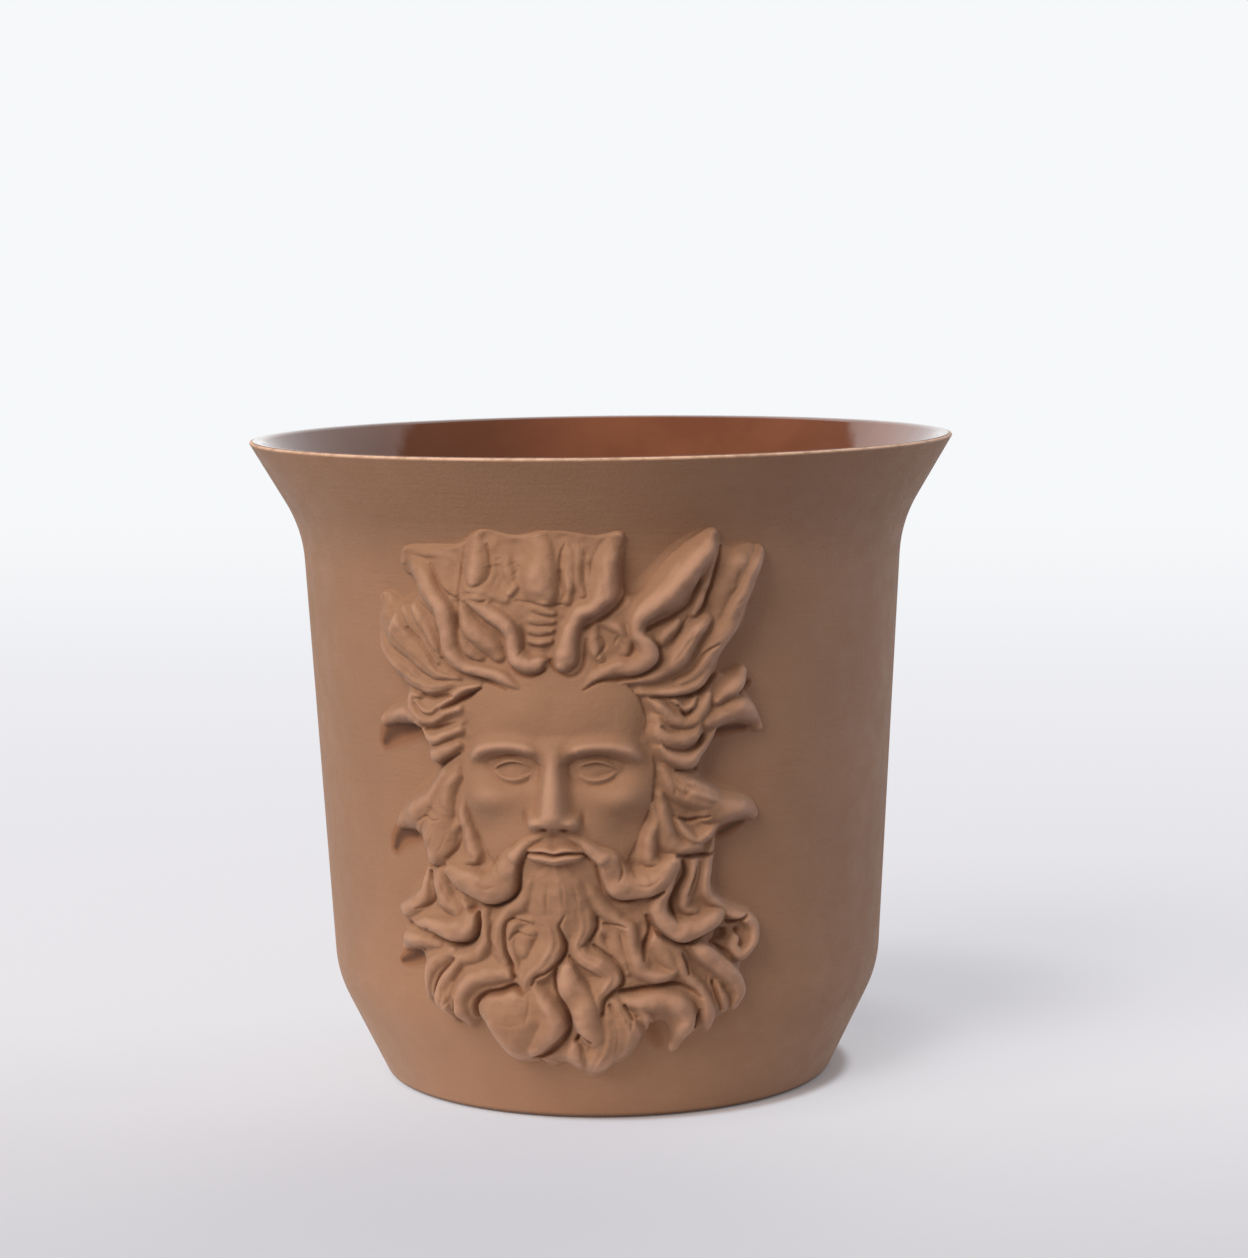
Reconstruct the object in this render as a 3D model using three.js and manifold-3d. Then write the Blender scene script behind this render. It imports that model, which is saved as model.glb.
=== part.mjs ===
// A handle-less coffee cup in matt brown stoneware with a glossy glazed inside.
// The cup is cast, its mask of a bearded head is applied in separate clay pieces:
// a face pad and rolled strands of hair, moustache and beard, each luted to the wall.
// Millimetres, +Z up. The origin is the centre of the foot, on the table. The mask faces -Y.

import * as THREE from "three";
import { mergeVertices } from "three/addons/utils/BufferGeometryUtils.js";
import Module from "manifold-3d";

// Cup body
const cupHeight = 82.5; // table to rim
const footRadius = 28.7; // outer edge of the flat foot
const footRingWidth = 5.5; // unglazed ring that the cup stands on
const footRecess = 1.2; // hollow inside the foot ring
const footEdge = 0.9; // rounding where the heel meets the table
const heelHeight = 13.5; // top of the sloping heel
const heelRadius = 35.25;
const shoulderRadius = 38.5; // top of the wall, where the lip flares
const shoulderBlend = 4.0; // rounding between wall and lip
const heelBlend = 3.0; // rounding between heel and wall
const flareHeight = 11.5; // flared lip, from shoulder to rim
const rimRadius = 45.0;
const wallThickness = 3.2;
const floorThickness = 4.0;
const lipThickness = 1.5;
const floorBlend = 5.0; // rounding of the inside between floor and heel
const innerHeelBlend = 5.0; // rounding of the inside between heel and wall

// Glaze
const glazeThickness = 0.4;
const glazeGap = 0.05; // clearance between glaze and clay

// Mask: its drawing is laid on the wall, arc lengths across and heights up from the beard's tip
const beardTipHeight = 7.0; // above the table
const crownOverrun = 3.8; // how far the tallest lock climbs onto the flared lip
const drawnMaskHeight = 67.8; // tip of the beard to tip of the tallest lock in the drawing
const strandFullness = 1.45; // plumpness of the strands against their drawn half widths
const seatGap = 0.3; // clearance of each clay piece from the wall
const strandGap = 0.3; // clearance between neighbouring clay pieces
const sunkBack = 1.2; // depth that a piece is started below the wall before it is trimmed to it

// Face pad, on the usual canon: thirds from hairline to brow, nose base and chin, five eyes across
const hairline = 49.5;
const chin = 22.5;
const faceWidth = 22.0;
const facePadHalfWidth = 12.2;
const facePadTop = 51.5;
const facePadBottom = 21.0;
const faceDepth = 4.6; // the pad's crown above the wall
const facePadEdge = 0.9; // the pad's thickness at its outline
const noseProjection = 3.3;
const bridgeHalfWidth = 1.1;
const noseTipHalfWidth = 1.7;
const wingHalfWidth = 0.8;
const wingProjection = 1.1;
const browHalfLength = 3.6;
const browHalfHeight = 1.2;
const browProjection = 0.9;
const socketHalfWidth = 2.6;
const socketHalfHeight = 1.6;
const socketDepth = 1.5;
const eyeballHalfWidth = 1.7;
const eyeballHalfHeight = 1.1;
const eyeballProjection = 1.2;
const cheekHalfWidth = 2.8;
const cheekHalfHeight = 2.6;
const cheekProjection = 0.9;
const cheekAboveNoseBase = 3.2;
const lipHalfWidth = 2.7;
const lipHalfHeight = 0.7;
const lipProjection = 0.95;
const chinHalfWidth = 2.6;
const chinHalfHeight = 2.2;
const chinProjection = 1.0;

// Mesh fineness
const roundSegments = 48;
const strandStep = 2.1; // distance between the rings of a strand
const faceRings = 17;
const faceSpokes = 40;

const shoulderHeight = cupHeight - flareHeight;
const maskScale = (shoulderHeight + crownOverrun - beardTipHeight) / drawnMaskHeight;
const maskRadius = (heelRadius + shoulderRadius) / 2; // middle of the wall, where arc lengths are true

const wasm = await Module();
wasm.setup();

// Solids

function solidFrom(geometry) {
  const bare = geometry.clone();
  bare.deleteAttribute("normal");
  bare.deleteAttribute("uv");
  const merged = mergeVertices(bare, 1e-4);
  return new wasm.Manifold(
    new wasm.Mesh({
      numProp: 3,
      vertProperties: merged.attributes.position.array,
      triVerts: new Uint32Array(merged.index.array),
    }),
  );
}

function geometryFrom(solid) {
  const mesh = solid.getMesh();
  const geometry = new THREE.BufferGeometry();
  geometry.setAttribute("position", new THREE.BufferAttribute(mesh.vertProperties, 3));
  geometry.setIndex(new THREE.BufferAttribute(mesh.triVerts, 1));
  geometry.computeVertexNormals();
  return geometry;
}

function largestBody(solid) {
  return solid.decompose().reduce((best, body) => (body.volume() > best.volume() ? body : best));
}

function boxesMeet(a, b) {
  const p = a.boundingBox();
  const q = b.boundingBox();
  return [0, 1, 2].every((axis) => p.min[axis] <= q.max[axis] && q.min[axis] <= p.max[axis]);
}

// Turned profiles, as lists of (radius, height) points

const at = (radius, height) => new THREE.Vector2(radius, height);

// Replaces a corner of a profile by a curve that starts and ends `blend` away from it,
// or just short of halfway along a side that is too short for that.
function roundedCorner(before, corner, after, blend, steps) {
  const shortSide = Math.min(before.distanceTo(corner), after.distanceTo(corner));
  const reach = Math.min(blend, 0.49 * shortSide);
  const start = corner.clone().add(before.clone().sub(corner).setLength(reach));
  const end = corner.clone().add(after.clone().sub(corner).setLength(reach));
  return new THREE.QuadraticBezierCurve(start, corner, end).getPoints(steps);
}

function turned(profile) {
  return new THREE.LatheGeometry(profile, roundSegments).rotateX(Math.PI / 2);
}

const foot = at(footRadius, 0);
const heel = at(heelRadius, heelHeight);
const shoulder = at(shoulderRadius, shoulderHeight);
const rim = at(rimRadius, cupHeight);

const outerProfile = [
  ...roundedCorner(at(footRadius - footRingWidth, 0), foot, heel, footEdge, 2),
  ...roundedCorner(foot, heel, shoulder, heelBlend, 3),
  ...roundedCorner(heel, shoulder, rim, shoulderBlend, 4),
  at(rimRadius, cupHeight - lipThickness / 2),
];

// The inside follows the outside, one wall thickness in, and thins towards the lip.
function innerProfile(inset) {
  const floorHeight = floorThickness + inset;
  const wallInset = wallThickness + inset;
  const centre = at(0, floorHeight);
  const floorEdge = at(footRadius - wallInset / 2, floorHeight);
  const innerHeel = at(heelRadius - wallInset, heelHeight);
  const throat = at(shoulderRadius - wallInset, shoulderHeight);
  const mouth = at(rimRadius - lipThickness - inset, cupHeight - lipThickness / 4);
  return [
    centre,
    ...roundedCorner(centre, floorEdge, innerHeel, floorBlend, 3),
    ...roundedCorner(floorEdge, innerHeel, throat, innerHeelBlend, 2),
    ...roundedCorner(innerHeel, throat, mouth, shoulderBlend, 3),
    mouth,
  ];
}

function cupBody() {
  const ringInside = footRadius - footRingWidth;
  const recess = [at(0, footRecess), at(ringInside - footRecess, footRecess), at(ringInside, 0)];
  const crest = at(rimRadius - lipThickness / 2, cupHeight);
  return turned([...recess, ...outerProfile, crest, ...innerProfile(0).reverse()]);
}

function glazeLining() {
  const outside = innerProfile(glazeGap);
  const inside = innerProfile(glazeGap + glazeThickness);
  return turned([...outside, ...inside.reverse()]);
}

// Radius of the cup's outside at a height.
function outerRadius(height) {
  for (let i = 1; i < outerProfile.length; i += 1) {
    const low = outerProfile[i - 1];
    const high = outerProfile[i];
    if (height <= high.y) {
      const share = Math.max(0, (height - low.y) / (high.y - low.y));
      return THREE.MathUtils.lerp(low.x, high.x, share);
    }
  }
  return rimRadius;
}

// The cup's outside as one solid, grown by the seat clearance, that trims the back of each piece.
function seatCutter() {
  const grown = outerProfile.map((point) => at(point.x + seatGap, point.y));
  const bottom = grown[0];
  const top = grown[grown.length - 1];
  return solidFrom(turned([at(0, bottom.y), ...grown, at(0, top.y)]));
}

// The mask's drawing, laid on the wall

function onWall(across, up, rise) {
  const height = beardTipHeight + maskScale * up;
  const angle = (maskScale * across) / maskRadius;
  const radius = outerRadius(height) + rise;
  return new THREE.Vector3(radius * Math.sin(angle), -radius * Math.cos(angle), height);
}

// Joins rings of points, each as long as the next, into one closed skin with flat ends.
function skinOf(rings) {
  const count = rings[0].length;
  const positions = rings.flat().flatMap((point) => point.toArray());
  const index = [];
  for (let ring = 0; ring + 1 < rings.length; ring += 1) {
    for (let side = 0; side < count; side += 1) {
      const a = ring * count + side;
      const b = ring * count + ((side + 1) % count);
      index.push(a, b + count, b, a, a + count, b + count);
    }
  }
  const last = (rings.length - 1) * count;
  for (let side = 1; side + 1 < count; side += 1) {
    index.push(0, side, side + 1);
    index.push(last, last + side + 1, last + side);
  }
  const geometry = new THREE.BufferGeometry();
  geometry.setAttribute("position", new THREE.Float32BufferAttribute(positions, 3));
  geometry.setIndex(index);
  return geometry;
}

// A rolled strand of clay along a route of [across, up, half width, rise] stations.
// `grow` fattens it all round, for trimming its neighbours.
const endTaper = 0.62; // how much of its section a strand keeps at its ends
const sectionShoulder = 0.74; // where a strand's side turns over to its top, as a share of width and rise
const bendLimit = 0.7; // share of a bend's radius that the strand's inner side may fill

function strandSolid(route, grow) {
  const places = route.map(([across, up]) => new THREE.Vector3(across, up, 0));
  const sections = route.map(([, , width, rise]) => new THREE.Vector3(width, rise, 0));
  const line = new THREE.CatmullRomCurve3(places);
  const size = new THREE.CatmullRomCurve3(sections);
  const steps = Math.max(4, Math.ceil(line.getLength() / strandStep));
  const rings = [];
  for (let i = 0; i <= steps; i += 1) {
    const t = i / steps;
    const centre = line.getPoint(t);
    const tangent = line.getTangent(t);
    const before = line.getTangent(Math.max(0, t - 0.5 / steps));
    const after = line.getTangent(Math.min(1, t + 0.5 / steps));
    const turn = Math.atan2(before.x * after.y - before.y * after.x, before.dot(after));
    const bendRadius = line.getLength() / steps / Math.max(Math.abs(turn), 1e-6);
    const atEnd = i === 0 || i === steps;
    const { x: width, y: rise } = size.getPoint(t).multiplyScalar(atEnd ? endTaper : 1);
    const outer = width * strandFullness + grow / maskScale;
    const inner = Math.min(outer, bendRadius * bendLimit);
    const left = turn > 0 ? inner : outer;
    const right = turn > 0 ? outer : inner;
    const high = rise * maskScale + grow;
    const push = atEnd ? ((i === 0 ? -1 : 1) * grow) / maskScale : 0;
    const point = (side, height) =>
      onWall(
        centre.x + tangent.x * push - tangent.y * side,
        centre.y + tangent.y * push + tangent.x * side,
        height,
      );
    rings.push([
      point(-right, -sunkBack),
      point(-sectionShoulder * right, sectionShoulder * high),
      point(0, high),
      point(sectionShoulder * left, sectionShoulder * high),
      point(left, -sunkBack),
    ]);
  }
  return solidFrom(skinOf(rings));
}

// Face pad

const third = (hairline - chin) / 3;
const browLine = hairline - third;
const noseBase = browLine - third;
const mouthLine = noseBase - third / 3;
const eyeLine = (hairline + third / 2 + chin) / 2; // halfway between the crown and the chin
const eyeWidth = faceWidth / 5;
const eyeCentre = eyeWidth; // one eye's width lies between the two eyes
const facePadMiddle = (facePadTop + facePadBottom) / 2;
const facePadHalfHeight = (facePadTop - facePadBottom) / 2;

const mound = (x, y, width, height) => Math.exp(-((x / width) ** 2) - (y / height) ** 2);
const eased = (value) => THREE.MathUtils.smoothstep(value, 0, 1);

// How far the face stands off the wall at a point of the drawing.
function faceRise(across, up) {
  const side = Math.abs(across);
  const reach = (across / facePadHalfWidth) ** 2 + ((up - facePadMiddle) / facePadHalfHeight) ** 2;
  const dome = facePadEdge + (faceDepth - facePadEdge) * Math.sqrt(Math.max(0, 1 - reach));
  const atEye = side - eyeCentre;
  const brow = browProjection * mound(atEye, up - browLine, browHalfLength, browHalfHeight);
  const socket = -socketDepth * mound(atEye, up - eyeLine, socketHalfWidth, socketHalfHeight);
  const eyeball = eyeballProjection * mound(atEye, up - eyeLine, eyeballHalfWidth, eyeballHalfHeight);
  const cheekUp = up - noseBase - cheekAboveNoseBase;
  const cheek = cheekProjection * mound(side - 1.5 * eyeCentre, cheekUp, cheekHalfWidth, cheekHalfHeight);
  const upperLip = lipProjection * mound(across, up - mouthLine - lipHalfHeight, lipHalfWidth, lipHalfHeight);
  const lowerLip = lipProjection * mound(across, up - mouthLine + lipHalfHeight, lipHalfWidth, lipHalfHeight);
  const chinBall = chinProjection * mound(across, up - chin - chinHalfHeight, chinHalfWidth, chinHalfHeight);
  return dome + brow + socket + eyeball + cheek + noseRise(across, up) + upperLip + lowerLip + chinBall;
}

// The nose widens and stands out from its bridge to its tip, and ends under the tip.
function noseRise(across, up) {
  const along = THREE.MathUtils.clamp((browLine - up) / third, 0, 1);
  const halfWidth = THREE.MathUtils.lerp(bridgeHalfWidth, noseTipHalfWidth, along);
  const below = eased((up - noseBase + wingHalfWidth) / (2 * wingHalfWidth));
  const above = eased((browLine + bridgeHalfWidth - up) / (2 * bridgeHalfWidth));
  const ridge = noseProjection * (0.25 + 0.75 * along) * mound(across, 0, halfWidth, 1) * below * above;
  const wingAcross = Math.abs(across) - eyeWidth / 2 + wingHalfWidth / 2;
  return ridge + wingProjection * mound(wingAcross, up - noseBase - wingHalfWidth, wingHalfWidth, wingHalfWidth);
}

function facePadSolid() {
  const rings = [];
  for (let ring = 0; ring <= faceRings; ring += 1) {
    const reach = Math.max(ring / faceRings, 0.004);
    const points = [];
    for (let spoke = 0; spoke < faceSpokes; spoke += 1) {
      const turn = (2 * Math.PI * spoke) / faceSpokes;
      const across = reach * facePadHalfWidth * Math.cos(turn);
      const up = facePadMiddle + reach * facePadHalfHeight * Math.sin(turn);
      points.push([across, up]);
    }
    rings.push(points);
  }
  const front = rings.map((points) => points.map(([a, u]) => onWall(a, u, faceRise(a, u) * maskScale)));
  const back = rings.at(-1).map(([a, u]) => onWall(a, u, -sunkBack));
  const backMiddle = rings[1].map(([a, u]) => onWall(a, u, -sunkBack));
  return solidFrom(skinOf([...front, back, backMiddle]));
}

// Strands of hair, moustache and beard: [across, up, half width, rise] stations, the topmost first.
// A strand is trimmed by those listed before it.

// The plume's stem has rings along it, one bulge and one neck for each.
function ringedStem() {
  const rings = 4;
  const bottom = 53.0;
  const top = 57.6;
  const stations = [];
  for (let i = 0; i <= 2 * rings; i += 1) {
    const bulge = i % 2 === 1;
    const up = bottom + ((top - bottom) * i) / (2 * rings);
    stations.push([-1.4, up, bulge ? 1.5 : 1.2, bulge ? 4.5 : 3.9]);
  }
  return stations;
}

const strands = {
  moustache_left: [
    [-1.7, 30.3, 0.7, 5.2], [-3.7, 29.6, 1.1, 5.6], [-5.6, 27.8, 1.2, 5.4],
    [-6.4, 24.9, 1.5, 5.0], [-8.3, 23.3, 1.4, 4.4], [-11.0, 24.2, 0.8, 3.6],
  ],
  moustache_right: [
    [1.7, 30.3, 0.7, 5.2], [3.9, 29.6, 1.1, 5.6], [5.8, 27.8, 1.2, 5.4],
    [6.6, 24.9, 1.5, 5.0], [8.6, 23.4, 1.4, 4.4], [11.2, 24.4, 0.8, 3.6],
  ],
  forelock_left: [
    [-3.1, 50.9, 1.5, 4.8], [-4.4, 53.2, 1.15, 4.6], [-4.5, 55.2, 1.1, 4.4],
    [-6.1, 57.0, 1.0, 4.0], [-9.0, 58.3, 0.7, 3.4],
  ],
  forelock_right: [
    [1.6, 50.9, 1.6, 4.9], [1.7, 53.5, 1.4, 4.7], [2.4, 56.0, 1.35, 4.5],
    [4.8, 57.4, 1.4, 4.3], [6.4, 60.2, 1.6, 4.2], [7.2, 64.2, 1.2, 3.4],
    [7.8, 67.8, 0.45, 2.2],
  ],
  plume_stem: ringedStem(),
  plume: [
    [-1.3, 58.2, 1.5, 4.2], [-1.2, 62.0, 1.95, 4.4], [-1.4, 66.0, 1.9, 3.2],
    [-1.5, 67.6, 1.2, 2.0],
  ],
  crown_lock_left: [
    [-4.4, 48.5, 0.5, 4.2], [-7.5, 50.0, 0.95, 4.6], [-10.7, 51.1, 1.2, 4.4],
    [-11.9, 54.0, 1.3, 4.2], [-14.0, 57.6, 1.7, 4.0], [-16.8, 62.4, 1.7, 3.2],
    [-18.0, 64.4, 0.7, 2.2],
  ],
  crown_lock_right: [
    [2.9, 48.6, 0.5, 4.3], [5.3, 50.3, 0.9, 4.7], [8.2, 50.9, 1.15, 4.6],
    [9.9, 52.5, 1.2, 4.5], [9.3, 54.8, 1.15, 4.4], [10.3, 57.1, 1.5, 4.4],
    [13.0, 59.7, 2.0, 4.4], [15.8, 63.0, 1.8, 3.8], [18.0, 66.9, 0.5, 2.4],
  ],
  crown_leaf_right: [
    [11.6, 47.6, 0.7, 3.6], [15.5, 50.0, 1.3, 4.0], [18.4, 53.2, 1.7, 4.0],
    [20.2, 57.2, 1.8, 3.8], [22.0, 61.0, 1.5, 3.4], [24.2, 64.6, 0.5, 2.0],
  ],
  crown_leaf_left: [
    [-11.0, 48.5, 0.8, 3.4], [-16.0, 50.2, 1.8, 3.4], [-19.8, 53.5, 2.2, 3.0],
    [-21.8, 58.7, 0.7, 1.8],
  ],
  crown_lobe_left: [
    [-8.9, 59.6, 1.0, 3.6], [-8.3, 62.6, 1.7, 3.8], [-8.7, 66.6, 1.1, 2.4],
  ],
  crown_lock_right_inner: [
    [7.6, 48.9, 0.5, 3.8], [10.8, 49.4, 0.9, 4.0], [13.0, 51.6, 1.3, 3.9],
    [15.6, 54.0, 1.4, 3.5], [18.2, 56.4, 0.8, 3.0],
  ],
  crown_leaf_left_back: [
    [-11.2, 57.8, 0.8, 3.2], [-12.4, 60.8, 1.7, 3.2], [-14.2, 64.4, 1.4, 2.2],
  ],
  crown_strand_right: [
    [12.4, 54.3, 0.6, 3.2], [14.8, 56.9, 0.8, 3.4], [16.8, 59.9, 0.8, 3.2],
    [17.8, 63.6, 0.5, 2.4],
  ],
  crown_leaf_right_back: [
    [18.8, 58.5, 0.8, 2.6], [20.0, 61.4, 1.1, 2.6], [21.6, 64.2, 0.7, 1.8],
  ],
  crown_leaf_left_low: [
    [-10.4, 47.2, 0.7, 3.4], [-14.0, 47.5, 1.0, 3.4], [-17.5, 49.2, 1.1, 2.8],
    [-19.8, 51.6, 0.5, 2.0],
  ],
  crown_leaf_right_low: [
    [10.6, 46.8, 0.5, 3.5], [14.0, 47.9, 0.8, 3.6], [16.9, 50.3, 0.8, 3.0],
    [18.6, 52.4, 0.4, 2.4],
  ],
  plume_strand_left: [
    [-4.2, 58.8, 0.8, 3.0], [-4.6, 62.0, 1.1, 3.2], [-4.9, 66.4, 0.8, 2.2],
  ],
  plume_strand_right: [
    [1.9, 58.6, 0.8, 3.2], [2.8, 61.5, 0.95, 3.2], [2.5, 66.0, 0.7, 2.2],
  ],
  plume_strand_far_right: [
    [4.0, 59.6, 0.7, 2.9], [4.4, 62.6, 0.8, 3.0], [4.9, 66.4, 0.6, 2.0],
  ],
  brow_strand_left: [
    [-9.6, 54.8, 0.7, 3.4], [-8.6, 52.8, 0.8, 3.6], [-6.3, 51.5, 0.7, 3.8],
  ],
  brow_strand_left_inner: [
    [-8.4, 56.0, 0.6, 3.2], [-6.8, 54.2, 0.7, 3.4], [-5.9, 52.6, 0.5, 3.6],
  ],
  brow_strand_right: [
    [4.3, 52.8, 0.6, 3.6], [5.4, 54.4, 0.8, 3.6], [7.2, 56.2, 0.7, 3.4],
  ],

  temple_curl_left_top: [
    [-10.9, 45.6, 0.7, 3.2], [-13.6, 44.6, 0.9, 3.2], [-15.9, 43.9, 0.9, 3.0],
    [-17.6, 44.8, 0.8, 2.6],
  ],
  temple_curl_left_middle: [
    [-10.9, 43.2, 0.7, 3.0], [-13.2, 41.9, 0.9, 3.2], [-15.6, 41.6, 0.8, 2.8],
    [-16.6, 42.6, 0.5, 2.4],
  ],
  temple_curl_left_low: [
    [-11.2, 40.6, 0.7, 2.8], [-13.3, 39.2, 0.9, 3.0], [-15.4, 38.8, 0.6, 2.4],
  ],
  temple_leaf_left: [
    [-17.2, 43.2, 0.8, 2.4], [-20.0, 43.4, 1.2, 2.4], [-23.2, 42.2, 0.5, 1.6],
  ],
  temple_curl_right_top: [
    [10.7, 45.0, 0.9, 3.4], [12.2, 42.6, 1.0, 3.4], [14.2, 41.5, 1.0, 3.2],
    [15.9, 42.9, 0.9, 3.0], [16.5, 45.4, 0.7, 2.6],
  ],
  temple_curl_right_inner: [
    [12.5, 45.9, 0.5, 3.0], [13.6, 45.2, 0.6, 3.0], [15.0, 45.4, 0.5, 2.6],
  ],
  temple_curl_right_low: [
    [11.9, 40.0, 0.8, 3.0], [13.6, 38.7, 0.9, 3.2], [15.9, 39.0, 0.9, 3.0],
    [17.4, 41.3, 0.6, 2.4],
  ],
  temple_leaf_right_top: [
    [18.0, 46.6, 0.8, 2.6], [20.2, 48.3, 1.3, 2.8], [22.4, 49.8, 0.7, 2.0],
  ],
  temple_leaf_right: [
    [17.2, 44.0, 0.8, 2.6], [20.0, 44.3, 1.2, 2.6], [22.8, 43.2, 1.0, 2.2],
    [25.6, 41.2, 0.35, 1.4],
  ],

  cheek_curl_left: [
    [-10.2, 32.0, 1.0, 3.4], [-11.6, 29.3, 1.2, 3.6], [-13.7, 27.5, 1.3, 3.6],
    [-16.0, 27.5, 1.1, 3.2], [-17.7, 29.0, 0.6, 2.4],
  ],
  cheek_lock_left: [
    [-11.3, 37.4, 1.0, 2.8], [-13.2, 34.4, 1.6, 3.2], [-15.4, 32.4, 1.4, 3.0],
    [-17.6, 31.4, 0.8, 2.4],
  ],
  cheek_leaf_left: [
    [-18.4, 32.0, 0.8, 2.0], [-20.3, 31.2, 1.0, 2.0], [-22.6, 29.6, 0.4, 1.4],
  ],
  cheek_curl_right: [
    [10.8, 33.4, 1.0, 3.4], [12.0, 30.6, 1.2, 3.6], [13.5, 28.7, 1.1, 3.4],
    [15.6, 29.0, 0.9, 3.0], [16.7, 30.6, 0.5, 2.6],
  ],
  cheek_lock_right: [
    [12.2, 37.2, 0.9, 3.0], [14.3, 34.8, 1.6, 3.2], [17.5, 33.2, 1.4, 3.0],
    [21.5, 32.7, 1.1, 2.4], [25.0, 31.9, 0.35, 1.4],
  ],
  jaw_curl_left: [
    [-19.5, 18.9, 0.5, 2.0], [-16.5, 18.0, 1.0, 3.0], [-13.0, 17.4, 1.3, 3.6],
    [-10.9, 18.5, 1.0, 3.6], [-9.9, 20.6, 0.6, 3.4],
  ],
  jaw_lock_left: [
    [-14.1, 25.0, 0.9, 3.2], [-14.3, 22.3, 1.3, 3.4], [-12.6, 20.9, 1.1, 3.4],
    [-11.0, 21.6, 0.7, 3.0],
  ],
  jaw_strand_left: [
    [-16.7, 25.4, 0.6, 2.8], [-16.8, 22.8, 0.9, 2.8], [-18.5, 20.9, 1.0, 2.4],
    [-21.8, 19.3, 0.5, 1.6],
  ],
  jaw_curl_right: [
    [12.3, 26.8, 0.8, 3.4], [13.2, 24.2, 1.1, 3.6], [11.4, 21.4, 1.1, 3.6],
    [12.0, 19.1, 1.3, 3.8], [14.6, 17.9, 1.3, 3.6], [18.0, 18.7, 1.2, 3.2],
    [19.5, 20.2, 0.7, 2.6],
  ],
  jaw_lock_right: [
    [17.0, 27.6, 0.8, 2.8], [17.3, 24.8, 1.2, 3.0], [18.6, 22.2, 1.2, 3.0],
    [21.4, 20.8, 1.1, 2.8], [24.0, 19.2, 0.7, 2.0],
  ],
  jaw_curl_right_outer: [
    [20.8, 20.0, 0.7, 2.2], [23.2, 19.0, 1.0, 2.4], [24.0, 16.6, 1.1, 2.4],
    [22.6, 14.8, 1.1, 2.6], [20.7, 15.6, 0.7, 2.4],
  ],

  beard_strand_centre_left: [
    [-2.2, 23.6, 1.2, 4.8], [-1.7, 20.5, 1.4, 4.8], [-1.4, 17.4, 1.5, 4.6],
    [-3.2, 14.6, 1.5, 4.4], [-3.6, 12.3, 1.4, 4.4], [-2.2, 9.3, 1.9, 4.4],
    [-3.4, 6.2, 2.0, 4.0],
  ],
  beard_strand_centre_right: [
    [2.3, 23.6, 1.2, 4.8], [2.7, 20.4, 1.3, 4.8], [2.3, 17.6, 1.2, 4.6],
    [4.2, 15.2, 1.5, 4.6], [5.5, 13.2, 1.5, 4.4], [4.0, 10.6, 1.4, 4.2],
    [2.8, 8.4, 1.3, 4.0], [3.2, 6.0, 1.2, 3.6],
  ],
  beard_curl_left: [
    [-4.8, 10.0, 1.2, 4.0], [-7.4, 9.0, 1.9, 4.0], [-8.2, 6.6, 1.7, 3.6],
    [-6.4, 4.6, 1.4, 3.2],
  ],
  beard_lobe_right: [
    [4.0, 6.4, 1.2, 3.6], [5.0, 4.4, 1.8, 3.4], [4.5, 2.0, 1.5, 3.0],
    [3.5, 0.4, 0.8, 2.2],
  ],
  beard_strand_left: [
    [-4.4, 22.6, 0.9, 4.4], [-6.3, 20.0, 1.2, 4.4], [-7.1, 17.2, 1.2, 4.2],
    [-6.7, 14.4, 0.9, 3.8],
  ],
  beard_strand_right: [
    [4.8, 22.6, 0.9, 4.4], [7.2, 20.2, 1.2, 4.4], [8.4, 17.4, 1.2, 4.2],
    [9.1, 14.7, 1.2, 4.0], [11.4, 13.3, 1.1, 3.6], [13.4, 13.3, 0.8, 3.2],
  ],
  beard_curl_left_inner: [
    [-3.9, 20.2, 0.7, 4.2], [-5.0, 18.0, 0.8, 4.2], [-4.9, 15.9, 0.8, 4.0],
  ],
  beard_strand_left_outer: [
    [-8.6, 19.6, 0.8, 3.8], [-9.1, 16.8, 1.0, 3.8], [-9.2, 14.6, 1.1, 3.8],
    [-11.2, 13.0, 1.2, 3.6], [-13.8, 11.6, 1.2, 3.2], [-15.0, 9.3, 0.7, 2.6],
  ],
  beard_strand_far_left: [
    [-13.0, 15.4, 0.8, 3.0], [-16.0, 13.9, 1.2, 3.0], [-18.3, 11.3, 1.1, 2.6],
    [-17.9, 8.7, 0.6, 2.0],
  ],
  beard_lock_left_low: [
    [-11.2, 10.4, 0.8, 3.2], [-12.5, 8.4, 1.0, 3.2], [-12.1, 6.0, 0.9, 2.8],
    [-10.9, 4.2, 0.6, 2.2],
  ],
  beard_lock_right_low: [
    [8.0, 9.8, 0.8, 3.4], [11.8, 9.6, 1.2, 3.4], [14.4, 8.2, 1.3, 3.2],
    [14.8, 5.7, 1.1, 2.8], [13.8, 3.6, 0.5, 2.0],
  ],
  beard_strand_far_right: [
    [15.6, 16.4, 0.8, 3.2], [17.8, 14.6, 1.2, 3.2], [20.4, 12.9, 1.2, 2.8],
    [22.2, 10.8, 1.1, 2.6], [21.6, 8.6, 0.6, 2.0],
  ],
  beard_strand_right_low: [
    [15.2, 13.2, 0.7, 3.0], [16.4, 11.0, 1.0, 3.0], [17.7, 8.3, 1.0, 2.6],
    [18.6, 5.6, 0.6, 2.0],
  ],
};

// Materials

const clay = () => new THREE.MeshStandardMaterial({ color: 0x966f59, roughness: 0.85, metalness: 0 });
const glaze = () => new THREE.MeshStandardMaterial({ color: 0x7a4a35, roughness: 0.12, metalness: 0 });

function pieceOf(name, geometry, material) {
  const mesh = new THREE.Mesh(geometry, material);
  mesh.name = name;
  return mesh;
}

// Assembly

const cup = new THREE.Group();
cup.add(pieceOf("cup_body", cupBody(), clay()));
cup.add(pieceOf("glaze_lining", glazeLining(), glaze()));

const mask = new THREE.Group();
const seat = seatCutter();
const placed = [];

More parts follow.
